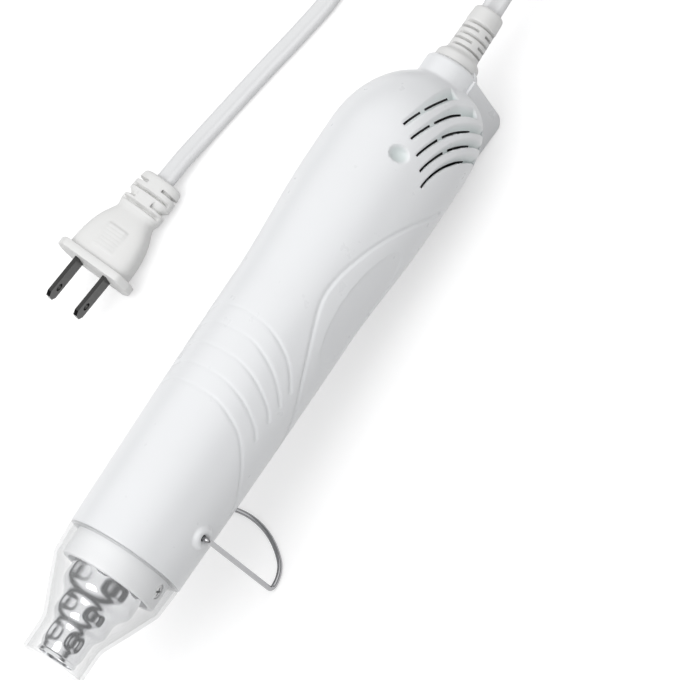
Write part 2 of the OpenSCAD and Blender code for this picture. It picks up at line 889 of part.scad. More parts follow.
function lead_rings(route, roll_from, roll_to, twist_from, twist_to) =
    [for (i = [0 : len(route) - 1])
        let (t = min(1, max(0, (i - twist_from) / (twist_to - twist_from))))
        lead_ring(route[i], route_way(route, i), roll_from + (roll_to - roll_from) * smooth(t), lead_section)];

module cord_tool_lead() {
    color("white") swept(lead_rings(tool_route, -relief_turn, -90, 0, 6));
}

module cord_plug_lead() {
    color("white") swept(lead_rings(plug_route, -90, 0, 0, 6));
}

// Place on the coil's middle line: in on the lower layer, out on the upper one
function coil_place(phi) =
    let (r = coil_r + coil_pitch * max(0, abs(phi) - 90) / 360,
        climb = smooth(min(1, max(0, (phi + 90) / 180))))
    [coil_x + r * cos(180 + phi), coil_y + r * sin(180 + phi), coil_low + (coil_high - coil_low) * climb];

function coil_ring(phi) =
    let (out = [cos(180 + phi), sin(180 + phi), 0])
    [for (q = coil_section) coil_place(phi) + [0, 0, q[0] * lead_w] + out * q[1] * lead_t];

coil_steps = 2 * coil_half_turns * coil_rings / 360;

module cord_coil() {
    rings = [for (i = [0 : coil_steps]) coil_ring(-coil_half_turns + i * 360 / coil_rings)];
    gap = min([for (i = [0 : coil_steps - 16], j = [i + 16 : coil_steps], p = rings[i], q = rings[j]) norm(p - q)]);
    echo(least_gap_between_turns = gap);
    color("white") swept(rings);
}

// Band that holds the coil together
tie_t = 0.6;
tie_w = 8;

module coil_tie() {
    near = coil_r + coil_pitch * 0.25 - lead_t / 2 - 0.8;
    far = coil_r + coil_pitch * 2.25 + lead_t / 2 + 0.4;
    high = coil_high + lead_w / 2 + 0.1;
    color("white")
        translate([coil_x, coil_y - tie_w / 2, 0])
            difference() {
                translate([near - tie_t, 0, 0.05]) cube([far - near + 2 * tie_t, tie_w, high + tie_t - 0.05]);
                translate([near, -1, 0.05 + tie_t]) cube([far - near, tie_w + 2, high - 0.05 - tie_t]);
            }
}

// Frame of the plug: x towards the blades' tips, from the flange's front face
module in_plug() {
    translate(plug_end)
        rotate([0, 0, plug_yaw])
            rotate([0, -plug_rise, 0])
                translate([plug_len, 0, 0])
                    rotate([-plug_roll, 0, 0])
                        children();
}

module plug_slab(x, w, h, r) {
    translate([x, 0, 0])
        rotate([90, 0, 90])
            linear_extrude(height = 0.1)
                hull()
                    for (sy = [-1, 1], sz = [-1, 1])
                        translate([sy * (w / 2 - r), sz * (h / 2 - r)]) circle(r = r, $fn = 16);
}

module plug_body() {
    color("gainsboro")
        in_plug()
            difference() {
                union() {
                    rotate([90, 0, 90])
                        translate([0, 0, -flange_t])
                            linear_extrude(height = flange_t)
                                polygon([[-plug_w / 2, -2.5], [-plug_w / 2 + 3.5, -plug_h / 2],
                                    [plug_w / 2 - 3.5, -plug_h / 2], [plug_w / 2, -2.5],
                                    [plug_w / 2, 2.5], [plug_w / 2 - 3.5, plug_h / 2],
                                    [-plug_w / 2 + 3.5, plug_h / 2], [-plug_w / 2, 2.5]]);
                    hull() {
                        plug_slab(-flange_t - 0.1, 24.5, 11.5, 3);
                        plug_slab(-13, 21.5, 11.2, 3);
                        plug_slab(-19, 17.5, 10, 3);
                    }
                    hull() {
                        plug_slab(-19, 17.5, 10, 3);
                        plug_slab(-24.5, 14.5, 8.6, 2.5);
                    }
                    translate([-plug_len, 0, 0]) rotate([90, 0, 90])
                        linear_extrude(height = 16.5)
                            hull() for (sy = [-1, 1]) translate([sy * 3.4, 0]) circle(r = 4.2, $fn = 32);
                    translate([-16.5, -4.2, 4]) cube([9.5, 8.4, 2.3]);
                }
                for (i = [0 : 3]) {
                    x = -26.6 - i * 3;
                    if (i % 2 == 0)
                        for (s = [-1, 1]) translate([x - 0.7, s * 5.6 - 2.6, -6]) cube([1.4, 5.2, 12]);
                    else
                        for (s = [-1, 1]) translate([x - 0.7, -8, s * 4.1 - 1.6]) cube([1.4, 16, 3.2]);
                }
                both_sides()
                    translate([-9, blade_gap / 2 - 0.75, -3.175]) cube([10, 1.5, 6.35]);
            }
}

module plug_blades() {
    color("silver")
        in_plug()
            both_sides()
                translate([-9, blade_gap / 2 - 0.75, 0])
                    difference() {
                        rotate([90, 0, 0])
                            translate([0, 0, -1.5])
                                linear_extrude(height = 1.5)
                                    polygon([[0, -3.175], [9 + blade_len - 1.6, -3.175],
                                        [9 + blade_len, -1.6], [9 + blade_len, 1.6],
                                        [9 + blade_len - 1.6, 3.175], [0, 3.175]]);
                        translate([9 + blade_len - 5, 3, 0]) rotate([90, 0, 0]) cylinder(h = 6, r = 1.55, $fn = 32);
                    }
}

main_shell();
front_cover();
shell_screw();
nozzle_collar();
collar_screws();
nozzle();
nozzle_retainer();
outlet_cross();
nozzle_guard();
mica_sleeve();
heater_core();
heating_coil();
thermal_cutout();
heater_base();
motor_mount();
motor_can();
motor_end_cap();
rectifier_board();
suppressor_capacitor();
fan_shaft();
fan_impeller();
switch_body();
switch_rocker();
switch_terminals();
inner_wires();
strain_relief();
lead_inner();
cord_clamp();
clamp_screws();
stand_wire();
cord_tool_lead();
cord_coil();
cord_plug_lead();
coil_tie();
plug_body();
plug_blades();
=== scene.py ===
import math

import bpy
import numpy as np
from mathutils import Matrix, Vector


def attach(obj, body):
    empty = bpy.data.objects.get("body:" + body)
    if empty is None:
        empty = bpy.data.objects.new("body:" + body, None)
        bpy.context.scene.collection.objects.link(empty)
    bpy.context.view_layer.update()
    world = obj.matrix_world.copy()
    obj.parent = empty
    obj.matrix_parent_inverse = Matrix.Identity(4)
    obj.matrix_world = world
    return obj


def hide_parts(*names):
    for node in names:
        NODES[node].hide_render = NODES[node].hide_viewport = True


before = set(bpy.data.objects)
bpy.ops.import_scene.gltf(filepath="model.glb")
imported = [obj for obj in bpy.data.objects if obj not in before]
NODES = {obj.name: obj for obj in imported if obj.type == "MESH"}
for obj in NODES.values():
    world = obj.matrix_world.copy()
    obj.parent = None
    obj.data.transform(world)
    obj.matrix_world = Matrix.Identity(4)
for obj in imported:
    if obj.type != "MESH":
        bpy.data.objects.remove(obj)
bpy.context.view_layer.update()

# Tool frame
# Shapes are drawn in millimetres in the tool's own frame: x runs from the front of the housing
# to the tail, z to the housing's back, and a turn about x starts at the back. RELIEF_TURN is the
# turn at which the lead's flat width leaves the strain relief.
MM = 0.001
SHIFT_X = -88.4
AXIS_Z = 48.9021
INCLINE = math.radians(6.64574)
RELIEF_END = 220.5
RELIEF_TURN = 35


def tool_matrix():
    """Turns the tool's own millimetres into the shared frame's metres."""
    place = Matrix.Translation(Vector((SHIFT_X, 0, AXIS_Z)) * MM)
    return place @ Matrix.Rotation(INCLINE, 4, "Y") @ Matrix.Scale(MM, 4)


TOOL = tool_matrix()

# Camera
CAMERA_PLACE = (-0.11766, -0.69311, 1.01509)
CAMERA_RIGHT = (0.49642, -0.74427, -0.44679)
CAMERA_DOWN = (-0.86174, -0.36044, -0.35704)
CAMERA_AHEAD = (0.10470, 0.56226, -0.82031)
SENSOR_WIDTH, LENS, CLIP_START = 36, 193.76, 0.05


def make_camera():
    data = bpy.data.cameras.new("camera")
    data.sensor_width = SENSOR_WIDTH
    data.lens = LENS
    data.clip_start = CLIP_START
    camera = bpy.data.objects.new("camera", data)
    axes = (Vector(CAMERA_RIGHT), -Vector(CAMERA_DOWN), -Vector(CAMERA_AHEAD))
    turn = Matrix(axes).transposed().to_4x4()
    camera.matrix_world = Matrix.Translation(CAMERA_PLACE) @ turn
    bpy.context.scene.collection.objects.link(camera)
    bpy.context.scene.camera = camera


make_camera()

# Mesh helpers
SHARP_ANGLE = 35


def new_object(name, verts, faces, material, sharp=SHARP_ANGLE, matrix=None):
    mesh = bpy.data.meshes.new(name)
    mesh.from_pydata([tuple(v) for v in verts], [], [tuple(f) for f in faces])
    if matrix is not None:
        mesh.transform(matrix)
    mesh.materials.append(material)
    mesh.shade_smooth()
    mesh.set_sharp_from_angle(angle=math.radians(sharp))
    mesh.update()
    piece = bpy.data.objects.new(name, mesh)
    bpy.context.scene.collection.objects.link(piece)
    return piece


def ride_as(piece, body, slot, *nodes):
    """Hangs a piece on the empty of the body it rides on and hides the nodes it replaces; its slot
    is not used.
    """
    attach(piece, body)
    if nodes:
        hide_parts(*nodes)
    return piece


def quads(rows, cols, close_rows=False, close_cols=False, base=0):
    """Faces of a grid of points, row by row, closed round where asked."""
    faces = []
    for i in range(rows if close_rows else rows - 1):
        for j in range(cols if close_cols else cols - 1):
            a, b = i * cols, (i + 1) % rows * cols
            k = (j + 1) % cols
            faces.append((base + a + j, base + a + k, base + b + k, base + b + j))
    return faces


def capped(rows, cols):
    """Faces of a bar made of rings of points, with a face over each end."""
    faces = quads(rows, cols, close_cols=True)
    faces.append(tuple(range(cols))[::-1])
    faces.append(tuple((rows - 1) * cols + j for j in range(cols)))
    return faces


def flipped(faces):
    return [face[::-1] for face in faces]


def around(x, radius, turn):
    """Points about the tool's axis, from its x, radii and turns."""
    x, radius, turn = np.broadcast_arrays(x, radius, turn)
    return np.stack((x, radius * np.sin(turn), radius * np.cos(turn)), -1)


def revolved(name, outline, material, steps=96, matrix=TOOL):
    """Ring about x whose section is a closed outline of (x, radius) points."""
    turn = np.arange(steps) * 2 * math.pi / steps
    verts = [(x, r * math.cos(a), r * math.sin(a)) for x, r in outline for a in turn]
    faces = quads(len(outline), steps, close_rows=True, close_cols=True)
    return new_object(name, verts, faces, material, matrix=matrix)


def rounded(points, radius, steps=4, closed=True):
    """An outline with its corners rounded by about this radius, or by a point's own third value."""
    out = []
    n = len(points)
    for i, point in enumerate(points):
        here = np.array(point[:2], float)
        if not closed and i in (0, n - 1):
            out.append(tuple(here))
            continue
        size = radius if len(point) < 3 else point[2]
        before = np.array(points[i - 1][:2], float) - here
        after = np.array(points[(i + 1) % n][:2], float) - here
        reach = min(size, 0.45 * np.linalg.norm(before), 0.45 * np.linalg.norm(after))
        start = here + before / np.linalg.norm(before) * reach
        end = here + after / np.linalg.norm(after) * reach
        for k in range(steps + 1):
            t = k / steps
            out.append(tuple((1 - t) ** 2 * start + 2 * t * (1 - t) * here + t**2 * end))
    return out


def densify(points, step, closed=True):
    """The same outline with no two points further apart than this."""
    out = []
    ends = points[1:] + points[:1] if closed else points[1:]
    for a, b in zip(points, ends):
        count = max(1, math.ceil(math.dist(a, b) / step))
        way = np.array(b) - np.array(a)
        out += [tuple(np.array(a) + way * k / count) for k in range(count)]
    return out if closed else out + [points[-1]]


def curved(points, per_piece):
    """Smooth curve through the points, passing each of them."""
    pts = [np.array(p, float) for p in points]
    pts = [2 * pts[0] - pts[1]] + pts + [2 * pts[-1] - pts[-2]]
    out = []
    for p0, p1, p2, p3 in zip(pts[:-3], pts[1:-2], pts[2:-1], pts[3:]):
        for k in range(per_piece):
            t = k / per_piece
            out.append(
                0.5 * (2 * p1 + (p2 - p0) * t + (2 * p0 - 5 * p1 + 4 * p2 - p3) * t**2
                       + (3 * p1 - p0 - 3 * p2 + p3) * t**3)
            )
    return out + [pts[-2]]


def way_at(path, i):
    """Direction of a chain of places at one of them."""
    way = path[min(i + 1, len(path) - 1)] - path[max(i - 1, 0)]
    return way / np.linalg.norm(way)


def smoothstep(low, high, value):
    t = np.clip((value - low) / (high - low), 0, 1)
    return t * t * (3 - 2 * t)


def line_distance(px, py, points):
    """Distance from each place to a chain of straight pieces."""
    best = np.full(np.shape(px), np.inf)
    for (ax, ay), (bx, by) in zip(points[:-1], points[1:]):
        dx, dy = bx - ax, by - ay
        t = np.clip(((px - ax) * dx + (py - ay) * dy) / (dx * dx + dy * dy), 0, 1)
        best = np.minimum(best, np.hypot(px - ax - t * dx, py - ay - t * dy))
    return best


def cut(piece, cutters):
    """Cuts closed shapes out of a closed piece and removes them."""
    for cutter in cutters:
        modifier = piece.modifiers.new("cut", "BOOLEAN")
        modifier.operation = "DIFFERENCE"
        modifier.solver = "MANIFOLD"
        modifier.object = cutter
    graph = bpy.context.evaluated_depsgraph_get()
    mesh = bpy.data.meshes.new_from_object(piece.evaluated_get(graph))
    whole = piece.data
    piece.modifiers.clear()
    piece.data = mesh
    bpy.data.meshes.remove(whole)
    for cutter in cutters:
        bpy.data.objects.remove(cutter)
    mesh.set_sharp_from_angle(angle=math.radians(SHARP_ANGLE))


# Material helpers
def shader_nodes(name):
    material = bpy.data.materials.new(name)
    material.use_nodes = True
    tree = material.node_tree
    return material, tree, tree.nodes["Principled BSDF"]


def noise(tree, scale, detail):
    coords = tree.nodes.new("ShaderNodeTexCoord")
    node = tree.nodes.new("ShaderNodeTexNoise")
    node.inputs["Scale"].default_value = scale
    node.inputs["Detail"].default_value = detail
    node.inputs["Roughness"].default_value = 0.55
    tree.links.new(coords.outputs["Object"], node.inputs["Vector"])
    return node.outputs["Fac"]


def mixed_color(tree, share, second):
    """Mix towards a second colour; its input A takes the first one."""
    mix = tree.nodes.new("ShaderNodeMix")
    mix.data_type = "RGBA"
    mix.inputs["B"].default_value = (*second, 1)
    tree.links.new(share, mix.inputs["Factor"])
    return mix


def cloudy_color(tree, first, second, scale):
    """Colour that drifts between two over the surface."""
    mix = mixed_color(tree, noise(tree, scale, 4), second)
    mix.inputs["A"].default_value = (*first, 1)
    return mix.outputs["Result"]


def uneven_gloss(tree, shader, scale, detail, rough):
    spread = tree.nodes.new("ShaderNodeMapRange")
    spread.inputs["From Min"].default_value = 0.3
    spread.inputs["From Max"].default_value = 0.7
    spread.inputs["To Min"].default_value = rough[0]
    spread.inputs["To Max"].default_value = rough[1]
    tree.links.new(noise(tree, scale, detail), spread.inputs["Value"])
    tree.links.new(spread.outputs["Result"], shader.inputs["Roughness"])


def fine_grain(tree, shader, scale, depth):
    bump = tree.nodes.new("ShaderNodeBump")
    bump.inputs["Strength"].default_value = 1.0
    bump.inputs["Distance"].default_value = depth
    tree.links.new(noise(tree, scale, 2), bump.inputs["Height"])
    tree.links.new(bump.outputs["Normal"], shader.inputs["Normal"])


def moulded(name, color, rough, grain=2500, grain_depth=0.00001, mottle=0.015, painted_shade=None):
    """Moulded plastic or vinyl: slight cloudiness, uneven gloss, fine grain, and where a second
    colour is given, painted shade over the hollows.
    """
    material, tree, shader = shader_nodes(name)
    darker = [c * (1 - mottle) for c in color]
    lighter = [min(1, c * (1 + mottle)) for c in color]
    result = cloudy_color(tree, darker, lighter, 60)
    # Painted shade: a darker colour laid over the surface by the hollow attribute, where the vent
    # hollows and the screw well are in shade.
    if painted_shade is not None:
        hollow = tree.nodes.new("ShaderNodeAttribute")
        hollow.attribute_name = "hollow"
        over = mixed_color(tree, hollow.outputs["Fac"], painted_shade)
        tree.links.new(result, over.inputs["A"])
        result = over.outputs["Result"]
    tree.links.new(result, shader.inputs["Base Color"])
    uneven_gloss(tree, shader, 140, 6, rough)
    fine_grain(tree, shader, grain, grain_depth)
    return material


def metal(name, color, rough):
    """Plated or drawn metal with faint unevenness in its colour and gloss."""
    material, tree, shader = shader_nodes(name)
    shader.inputs["Metallic"].default_value = 1.0
    result = cloudy_color(tree, [c * 0.93 for c in color], color, 200)
    tree.links.new(result, shader.inputs["Base Color"])
    uneven_gloss(tree, shader, 300, 6, rough)
    fine_grain(tree, shader, 900, 0.000004)
    return material


def clear_plastic(name):
    """See-through where it is looked at square on, greyer and glossier towards its edges."""
    material, tree, shader = shader_nodes(name)
    shader.inputs["Base Color"].default_value = (0.55, 0.56, 0.565, 1)
    shader.inputs["IOR"].default_value = 1.5
    facing = tree.nodes.new("ShaderNodeLayerWeight")
    facing.inputs["Blend"].default_value = 0.25
    edge = tree.nodes.new("ShaderNodeMapRange")
    edge.inputs["To Min"].default_value = 0.05
    edge.inputs["To Max"].default_value = 0.42
    tree.links.new(facing.outputs["Facing"], edge.inputs["Value"])
    tree.links.new(edge.outputs["Result"], shader.inputs["Alpha"])
    uneven_gloss(tree, shader, 120, 5, (0.05, 0.1))
    fine_grain(tree, shader, 700, 0.000006)
    return material


# Materials
# The housing's second colour is painted shade for its vent hollows and screw well.
HOUSING = moulded("housing_white", (0.78, 0.79, 0.8), (0.27, 0.31), grain_depth=0.000002,
                  painted_shade=(0.6, 0.66, 0.65))
COLLAR = moulded("collar_white", (0.93, 0.935, 0.94), (0.35, 0.5), grain=3500)
GUARD = clear_plastic("guard_clear")
CHROME = metal("nozzle_chrome", (0.72, 0.725, 0.735), (0.05, 0.12))
STEEL = metal("screw_steel", (0.62, 0.62, 0.62), (0.25, 0.38))
WIRE = metal("stand_steel", (0.42, 0.42, 0.43), (0.16, 0.26))
# Painted reflection: the blades' nickel is made near-black, standing in for the dark surroundings
# seen in it.
BLADE_PAINTED_REFLECTION = metal("blade_nickel", (0.055, 0.055, 0.054), (0.1, 0.18))
MICA = moulded("mica", (0.55, 0.48, 0.32), (0.4, 0.6), mottle=0.12)
COIL_WIRE = metal("heater_wire", (0.3, 0.28, 0.26), (0.4, 0.55))
MOTOR = metal("motor_metal", (0.5, 0.5, 0.5), (0.3, 0.45))
INNER = moulded("inner_plastic", (0.7, 0.69, 0.64), (0.45, 0.6))
BOARD = moulded("board_green", (0.05, 0.22, 0.1), (0.3, 0.5))
OCHRE = moulded("capacitor_ochre", (0.5, 0.24, 0.05), (0.15, 0.3))
FAN = moulded("fan_plastic", (0.02, 0.02, 0.022), (0.35, 0.5))
SWITCH = moulded("switch_grey", (0.16, 0.165, 0.17), (0.35, 0.5))
ROCKER = moulded("rocker_grey", (0.24, 0.25, 0.26), (0.22, 0.35))
BRASS = metal("terminal_brass", (0.7, 0.55, 0.3), (0.25, 0.4))
RED = moulded("wire_red", (0.4, 0.03, 0.02), (0.35, 0.5))
RELIEF = moulded("relief_vinyl", (0.72, 0.72, 0.71), (0.4, 0.52), grain=3000)
PLUG = moulded("plug_vinyl", (0.74, 0.74, 0.73), (0.42, 0.55), grain=3000)
CORD = moulded("cord_vinyl", (0.7, 0.705, 0.71), (0.3, 0.42), grain=3000)
TIE = moulded("tie_white", (0.75, 0.75, 0.73), (0.5, 0.65))
# Painted shade: near-black colour for the walls that the cutters leave in the vent slots, the
# stand's pin holes and the collar screws' cross slots.
CUT_PAINTED_SHADE = moulded("cut_painted_shade", (0.03, 0.033, 0.034), (0.5, 0.7))

NODE_MATERIALS = {
    "main_shell": HOUSING, "front_cover": HOUSING, "shell_screw": STEEL, "nozzle_collar": COLLAR,
    "collar_screws": STEEL, "nozzle": CHROME, "nozzle_retainer": STEEL, "outlet_cross": STEEL,
    "nozzle_guard": GUARD, "mica_sleeve": MICA, "heater_core": MICA, "heating_coil": COIL_WIRE,
    "thermal_cutout": MOTOR, "heater_base": INNER, "motor_mount": INNER, "motor_can": MOTOR,
    "motor_end_cap": INNER, "rectifier_board": BOARD, "suppressor_capacitor": OCHRE,
    "fan_shaft": STEEL, "fan_impeller": FAN, "switch_body": SWITCH, "switch_rocker": ROCKER,
    "switch_terminals": BRASS, "inner_wires": RED, "strain_relief": RELIEF, "lead_inner": CORD,
    "cord_clamp": INNER, "clamp_screws": STEEL, "stand_wire": WIRE, "cord_tool_lead": CORD,
    "cord_coil": CORD, "cord_plug_lead": CORD, "coil_tie": TIE, "plug_body": PLUG,
    "plug_blades": BLADE_PAINTED_REFLECTION,
}


def dress_nodes():
    for name, material in NODE_MATERIALS.items():
        mesh = NODES[name].data
        for i in range(len(mesh.materials)):
            mesh.materials[i] = material
        if not mesh.materials:
            mesh.materials.append(material)


dress_nodes()

# Lead
# Its routes and coil are in millimetres of the shared frame. A turn of the coil is measured
# from its middle, where it climbs from the lower layer to the upper one.
LEAD_W, LEAD_T = 7.7, 3.9
LEAD_VALLEY = 0.75
COIL_X, COIL_Y, COIL_R, COIL_PITCH = 198, 47, 36, 7.2
COIL_LOW = 0.7 + LEAD_W / 2
COIL_HIGH = COIL_LOW + LEAD_W + 0.5
COIL_SWEEP, COIL_STEP, COIL_CLIMB = 990, 7.5, 90
PLUG_END = (34.5, 97.7, 5.2)
LEAD_START = TOOL @ Vector((RELIEF_END, 0, 0)) / MM
TOOL_ROUTE = [
    tuple(LEAD_START), (140, 0, 22.6), (150, -0.3, 20.5), (160, -1.2, 16.6), (170, -2.6, 11.6),
    (180, -4.4, 7.3), (189, -6, 5.1), (198, -7, COIL_LOW),
]
PLUG_ROUTE = [
    (198, 101, COIL_HIGH), (186, 99.6, 12.3), (173, 94.8, 11), (160, 87.6, 8.6), (147, 81, 5.8),
    (134, 77.6, 3.4), (120, 77.6, 2.2), (104, 81.5, 2), (87, 86.6, 2), (70, 91.4, 2),
    (56, 94.9, 2.4), (45, 96.7, 3.8), PLUG_END,
]
RINGS_PER_PIECE = 4
ROLL_RINGS = 6 * RINGS_PER_PIECE
UPRIGHT = 90


def coil_place(phi):
    radius = COIL_R + COIL_PITCH * max(0, abs(phi) - COIL_CLIMB) / 360
    climb = float(smoothstep(-COIL_CLIMB, COIL_CLIMB, phi))
    height = COIL_LOW + (COIL_HIGH - COIL_LOW) * climb
    a = math.radians(180 + phi)
    return np.array((COIL_X + radius * math.cos(a), COIL_Y + radius * math.sin(a), height))


def rolled(ring):
    """Share of its roll that the lead has made at this ring from the start of a route."""
    return float(smoothstep(0, ROLL_RINGS, ring))


def lead_path():
    """Places along the lead's middle with the roll of its width: 0 is flat, -90 upright."""
    path = []
    for i, place in enumerate(curved(TOOL_ROUTE, RINGS_PER_PIECE)):
        path.append((place, -RELIEF_TURN - (UPRIGHT - RELIEF_TURN) * rolled(i)))
    for phi in np.arange(-COIL_SWEEP + COIL_STEP, COIL_SWEEP, COIL_STEP):
        path.append((coil_place(phi), -UPRIGHT))
    for i, place in enumerate(curved(PLUG_ROUTE, RINGS_PER_PIECE)):
        path.append((place, -UPRIGHT + UPRIGHT * rolled(i)))
    return path


def lead_section():
    """Outline of the twin lead: two round cores with a shallow valley between them."""
    lobe = (LEAD_W - LEAD_T) / 2
    out = []
    for side in (1, -1):
        for k in range(9):
            a = math.radians(-100 + 25 * k)
            width = lobe + LEAD_T / 2 * math.cos(a)
            out.append((side * width, side * LEAD_T / 2 * math.sin(a)))
        out.append((0, side * (LEAD_T / 2 - LEAD_VALLEY)))
    return out


def make_lead():
    path = lead_path()
    places = [p for p, _ in path]
    section = lead_section()
    verts = []
    for i, (p, roll) in enumerate(path):
        way = way_at(places, i)
        side = np.cross(way, (0, 0, 1))
        side /= np.linalg.norm(side)
        up = np.cross(side, way)
        c, s = math.cos(math.radians(roll)), math.sin(math.radians(roll))
        wide, thick = side * c + up * s, up * c - side * s
        verts += [p + wide * w + thick * t for w, t in section]
    faces = capped(len(path), len(section))
    lead = new_object("lead", verts, faces, CORD, 50, Matrix.Scale(MM, 4))
    ride_as(lead, "tool", "cord_vinyl", "cord_tool_lead", "cord_coil", "cord_plug_lead")
    return lead, [tuple(p * MM) for p in places]


lead, lead_points = make_lead()

# Housing
BARREL_FRONT_R, BARREL_R, HEAD_R = 21.0, 22.3, 24.5
WAIST_X, SWELL_END, DOME_START, DOME_LEN = 98, 145, 160, 32
WALL = 2.0
LIP_R, LIP_IN, LIP_OUT, LIP_BEHIND = 17.45, 2.0, 6, 2.4
NECK_R, NECK_INSIDE_R, NECK_FROM, NECK_END = 9.75, 5.2, 188, 197.4
BORE_R, BORE_INSIDE_R, NECK_WALL = 5.1, 5.117, 0.4
COVER_HALF = 10.8
SEAM_DEPTH, SEAM_WIDTH = 0.12, 0.4
NECK_BLEND = 14
NUDGE = 0.01

# Grid of the housing's skin: the inside takes every fifth row and column of the outside.
STEP, DOME_STEP, DOME_TURN, DOME_TURN_STEP = 0.42, 0.15, 1.14, 0.014
SKIN_COLS = 331
COARSE = 5


def body_r(x):
    taper = np.sin(np.pi / 2 * np.minimum(x, WAIST_X) / WAIST_X)
    barrel = BARREL_FRONT_R + (BARREL_R - BARREL_FRONT_R) * taper
    return barrel + (HEAD_R - BARREL_R) * smoothstep(WAIST_X, SWELL_END, x)


def dome_r(x, power, reach=DOME_LEN, radius=HEAD_R):
    """Radius of the head's dome; a higher power makes it fuller."""
    t = np.clip((x - DOME_START) / reach, 0, 1)
    return radius * (1 - t**power) ** (1 / power)


def skin_r(x, turn):
    """Radius of the housing: the head is fuller towards the platform, and runs into the neck."""
    power = 2 + smoothstep(math.radians(60), math.radians(105), np.abs(turn))
    head = np.where(x > DOME_START, dome_r(x, power), body_r(x))
    return (head**NECK_BLEND + NECK_R**NECK_BLEND) ** (1 / NECK_BLEND)


def outer_outline():
    """(x, radius) points from the front lip to the neck's end, in whole groups of five steps."""
    lip = [(LIP_IN, LIP_R), (0, LIP_R), (0, BARREL_FRONT_R), (LIP_OUT, float(body_r(LIP_OUT)))]
    outline = densify(rounded(lip, 0.5, 5, closed=False)[:-1], 1.0, closed=False)
    barrel = np.arange(outline[-1][0] + STEP, DOME_START, STEP)
    outline += [(x, float(body_r(x))) for x in barrel]
    dome = [DOME_START + DOME_LEN * math.sin(a) for a in np.arange(0, DOME_TURN, DOME_TURN_STEP)]
    dome += list(np.arange(dome[-1] + DOME_STEP, DOME_START + DOME_LEN, DOME_STEP))
    outline += [(x, float(skin_r(x, 0))) for x in dome]
    neck = [outline[-1], (NECK_END, NECK_R, 1.6), (NECK_END, BORE_R)]
    outline += densify(rounded(neck, 0.8, 6, closed=False)[1:], 0.7, closed=False)
    while (len(outline) - 1) % COARSE:
        outline.append((NECK_END, outline[-1][1] - 0.02))
    return outline


def inner_place(x, last_x):
    """Place on the inside for one on the outside; along the neck each is a little past the last."""
    if x < DOME_START:
        x = max(x, LIP_BEHIND)
        return x, float(body_r(x)) - WALL
    if x < NECK_FROM:
        dome = dome_r(x, 2, DOME_LEN - WALL, HEAD_R - WALL)
        return x, max(float(dome), NECK_INSIDE_R)
    if x < NECK_END - NUDGE:
        return max(x, last_x + NUDGE), BORE_INSIDE_R
    return NECK_END - NECK_WALL, BORE_INSIDE_R


def inner_outline(outer):
    inner = []
    for x, _ in outer[::COARSE]:
        inner.append(inner_place(x, inner[-1][0] if inner else 0))
    return inner


# Pressed lines over the grip, as x and turn in degrees from the back.
GRIP_LINES = (
    ((86.1, 0), (84.6, 30), (81, 52), (77.5, 65), (72, 79)),
    ((78.7, 0), (78.2, 24), (75.7, 42), (72.9, 56), (69.5, 68), (66.3, 78)),
    ((70.8, 0), (70.3, 23), (68.6, 40), (66, 55), (62.9, 69), (60, 77)),
    ((63.1, 0), (62.5, 23), (60.5, 43), (57.6, 59), (55, 70), (52.7, 76)),
    ((56.1, 0), (55.6, 26), (53, 46), (50.4, 59), (46, 72), (40.8, 85), (35.4, 98), (29.5, 110)),
)
GRIP_R, GRIP_WIDTH = 21.9, 0.55
GRIP_FAINT, GRIP_GROWTH = 0.14, 0.3

# The long line and the dished pad on each side, in x and z.
SWOOSH = ((151, -6.5), (140, 3.5), (130, 9), (121, 11.8), (111, 13.5), (102, 13.3), (93, 10.6),
          (84.5, 6.9), (76.6, 2.6), (67.4, -4.2), (62, -7.8), (55, -12.5))
SWOOSH_DEPTH, SWOOSH_WIDTH = 0.5, 0.6
PAD_X, PAD_Z, PAD_LONG, PAD_HIGH = 108.5, -0.8, 23.2, 8.6
PAD_EDGE, PAD_DISH = 0.3, 0.8


def grip_depth(x, r, turn):
    depth = np.zeros_like(x)
    arc = np.radians(turn) * r
    strength = GRIP_FAINT + GRIP_GROWTH * smoothstep(20, 50, turn)
    for line in GRIP_LINES:
        points = curved([(px, math.radians(pa) * GRIP_R) for px, pa in line], 4)
        off = line_distance(x, arc, [tuple(p) for p in points])
        depth += strength * np.exp(-((off / GRIP_WIDTH) ** 2))
    return depth


def side_depth(x, z):
    swoosh = [tuple(p) for p in curved(SWOOSH, 5)]
    depth = SWOOSH_DEPTH * np.exp(-((line_distance(x, z, swoosh) / SWOOSH_WIDTH) ** 2))
    off = np.hypot((x - PAD_X) / PAD_LONG, (z - PAD_Z) / PAD_HIGH)
    depth += PAD_EDGE * (1 - smoothstep(0.94, 1.0, off)) + PAD_DISH * np.clip(1 - off**2, 0, 1)
    return depth


# Vents: five slots on each side, along arcs about one point in x and z. Their angles are in
# degrees from z towards x. A rib splits all but the first; RIB_GAP is half its width, as an angle
# at a radius of 1 mm.
VENT_X, VENT_Z, VENT_R, VENT_STEP, VENT_W = 153.5, -12.5, 20.4, 4.1, 1.0
VENT_FROM = (-4.5, 5, 11.2, 16.3, 19.5)
VENT_FROM_FAR = (-4, 6, 11.5, 38, 45)
VENT_TO = (56.5, 61.5, 62.5, 58.5, 54.5)
VENT_DRIFT = ((1.3, -0.8), (0.5, 0.3), (0.1, 0.8), (0, 1.2), (-1.0, 1.1))
VENT_SLANT = 0.8
VENT_CUT_IN, VENT_CUT_OUT = -4.5, 2.5
HOLLOW_TO = (84, 87, 84.5, 69, 60.5)
# HOLLOW_FULL is the hollow's depth at which its painted shade is full.
HOLLOW_DEPTH, HOLLOW_GROWTH, HOLLOW_FULL = 0.7, 0.6, 1.1
RIB_AT = 33.5
RIB_GAP = 60


def vent_r(i, angle):
    """Radius of a slot's middle: the arcs are not quite concentric."""
    start, end = VENT_DRIFT[i]
    way = np.clip((angle - VENT_FROM[i]) / (VENT_TO[i] - VENT_FROM[i]), 0, 1)
    return VENT_R + i * VENT_STEP + start + (end - start) * way


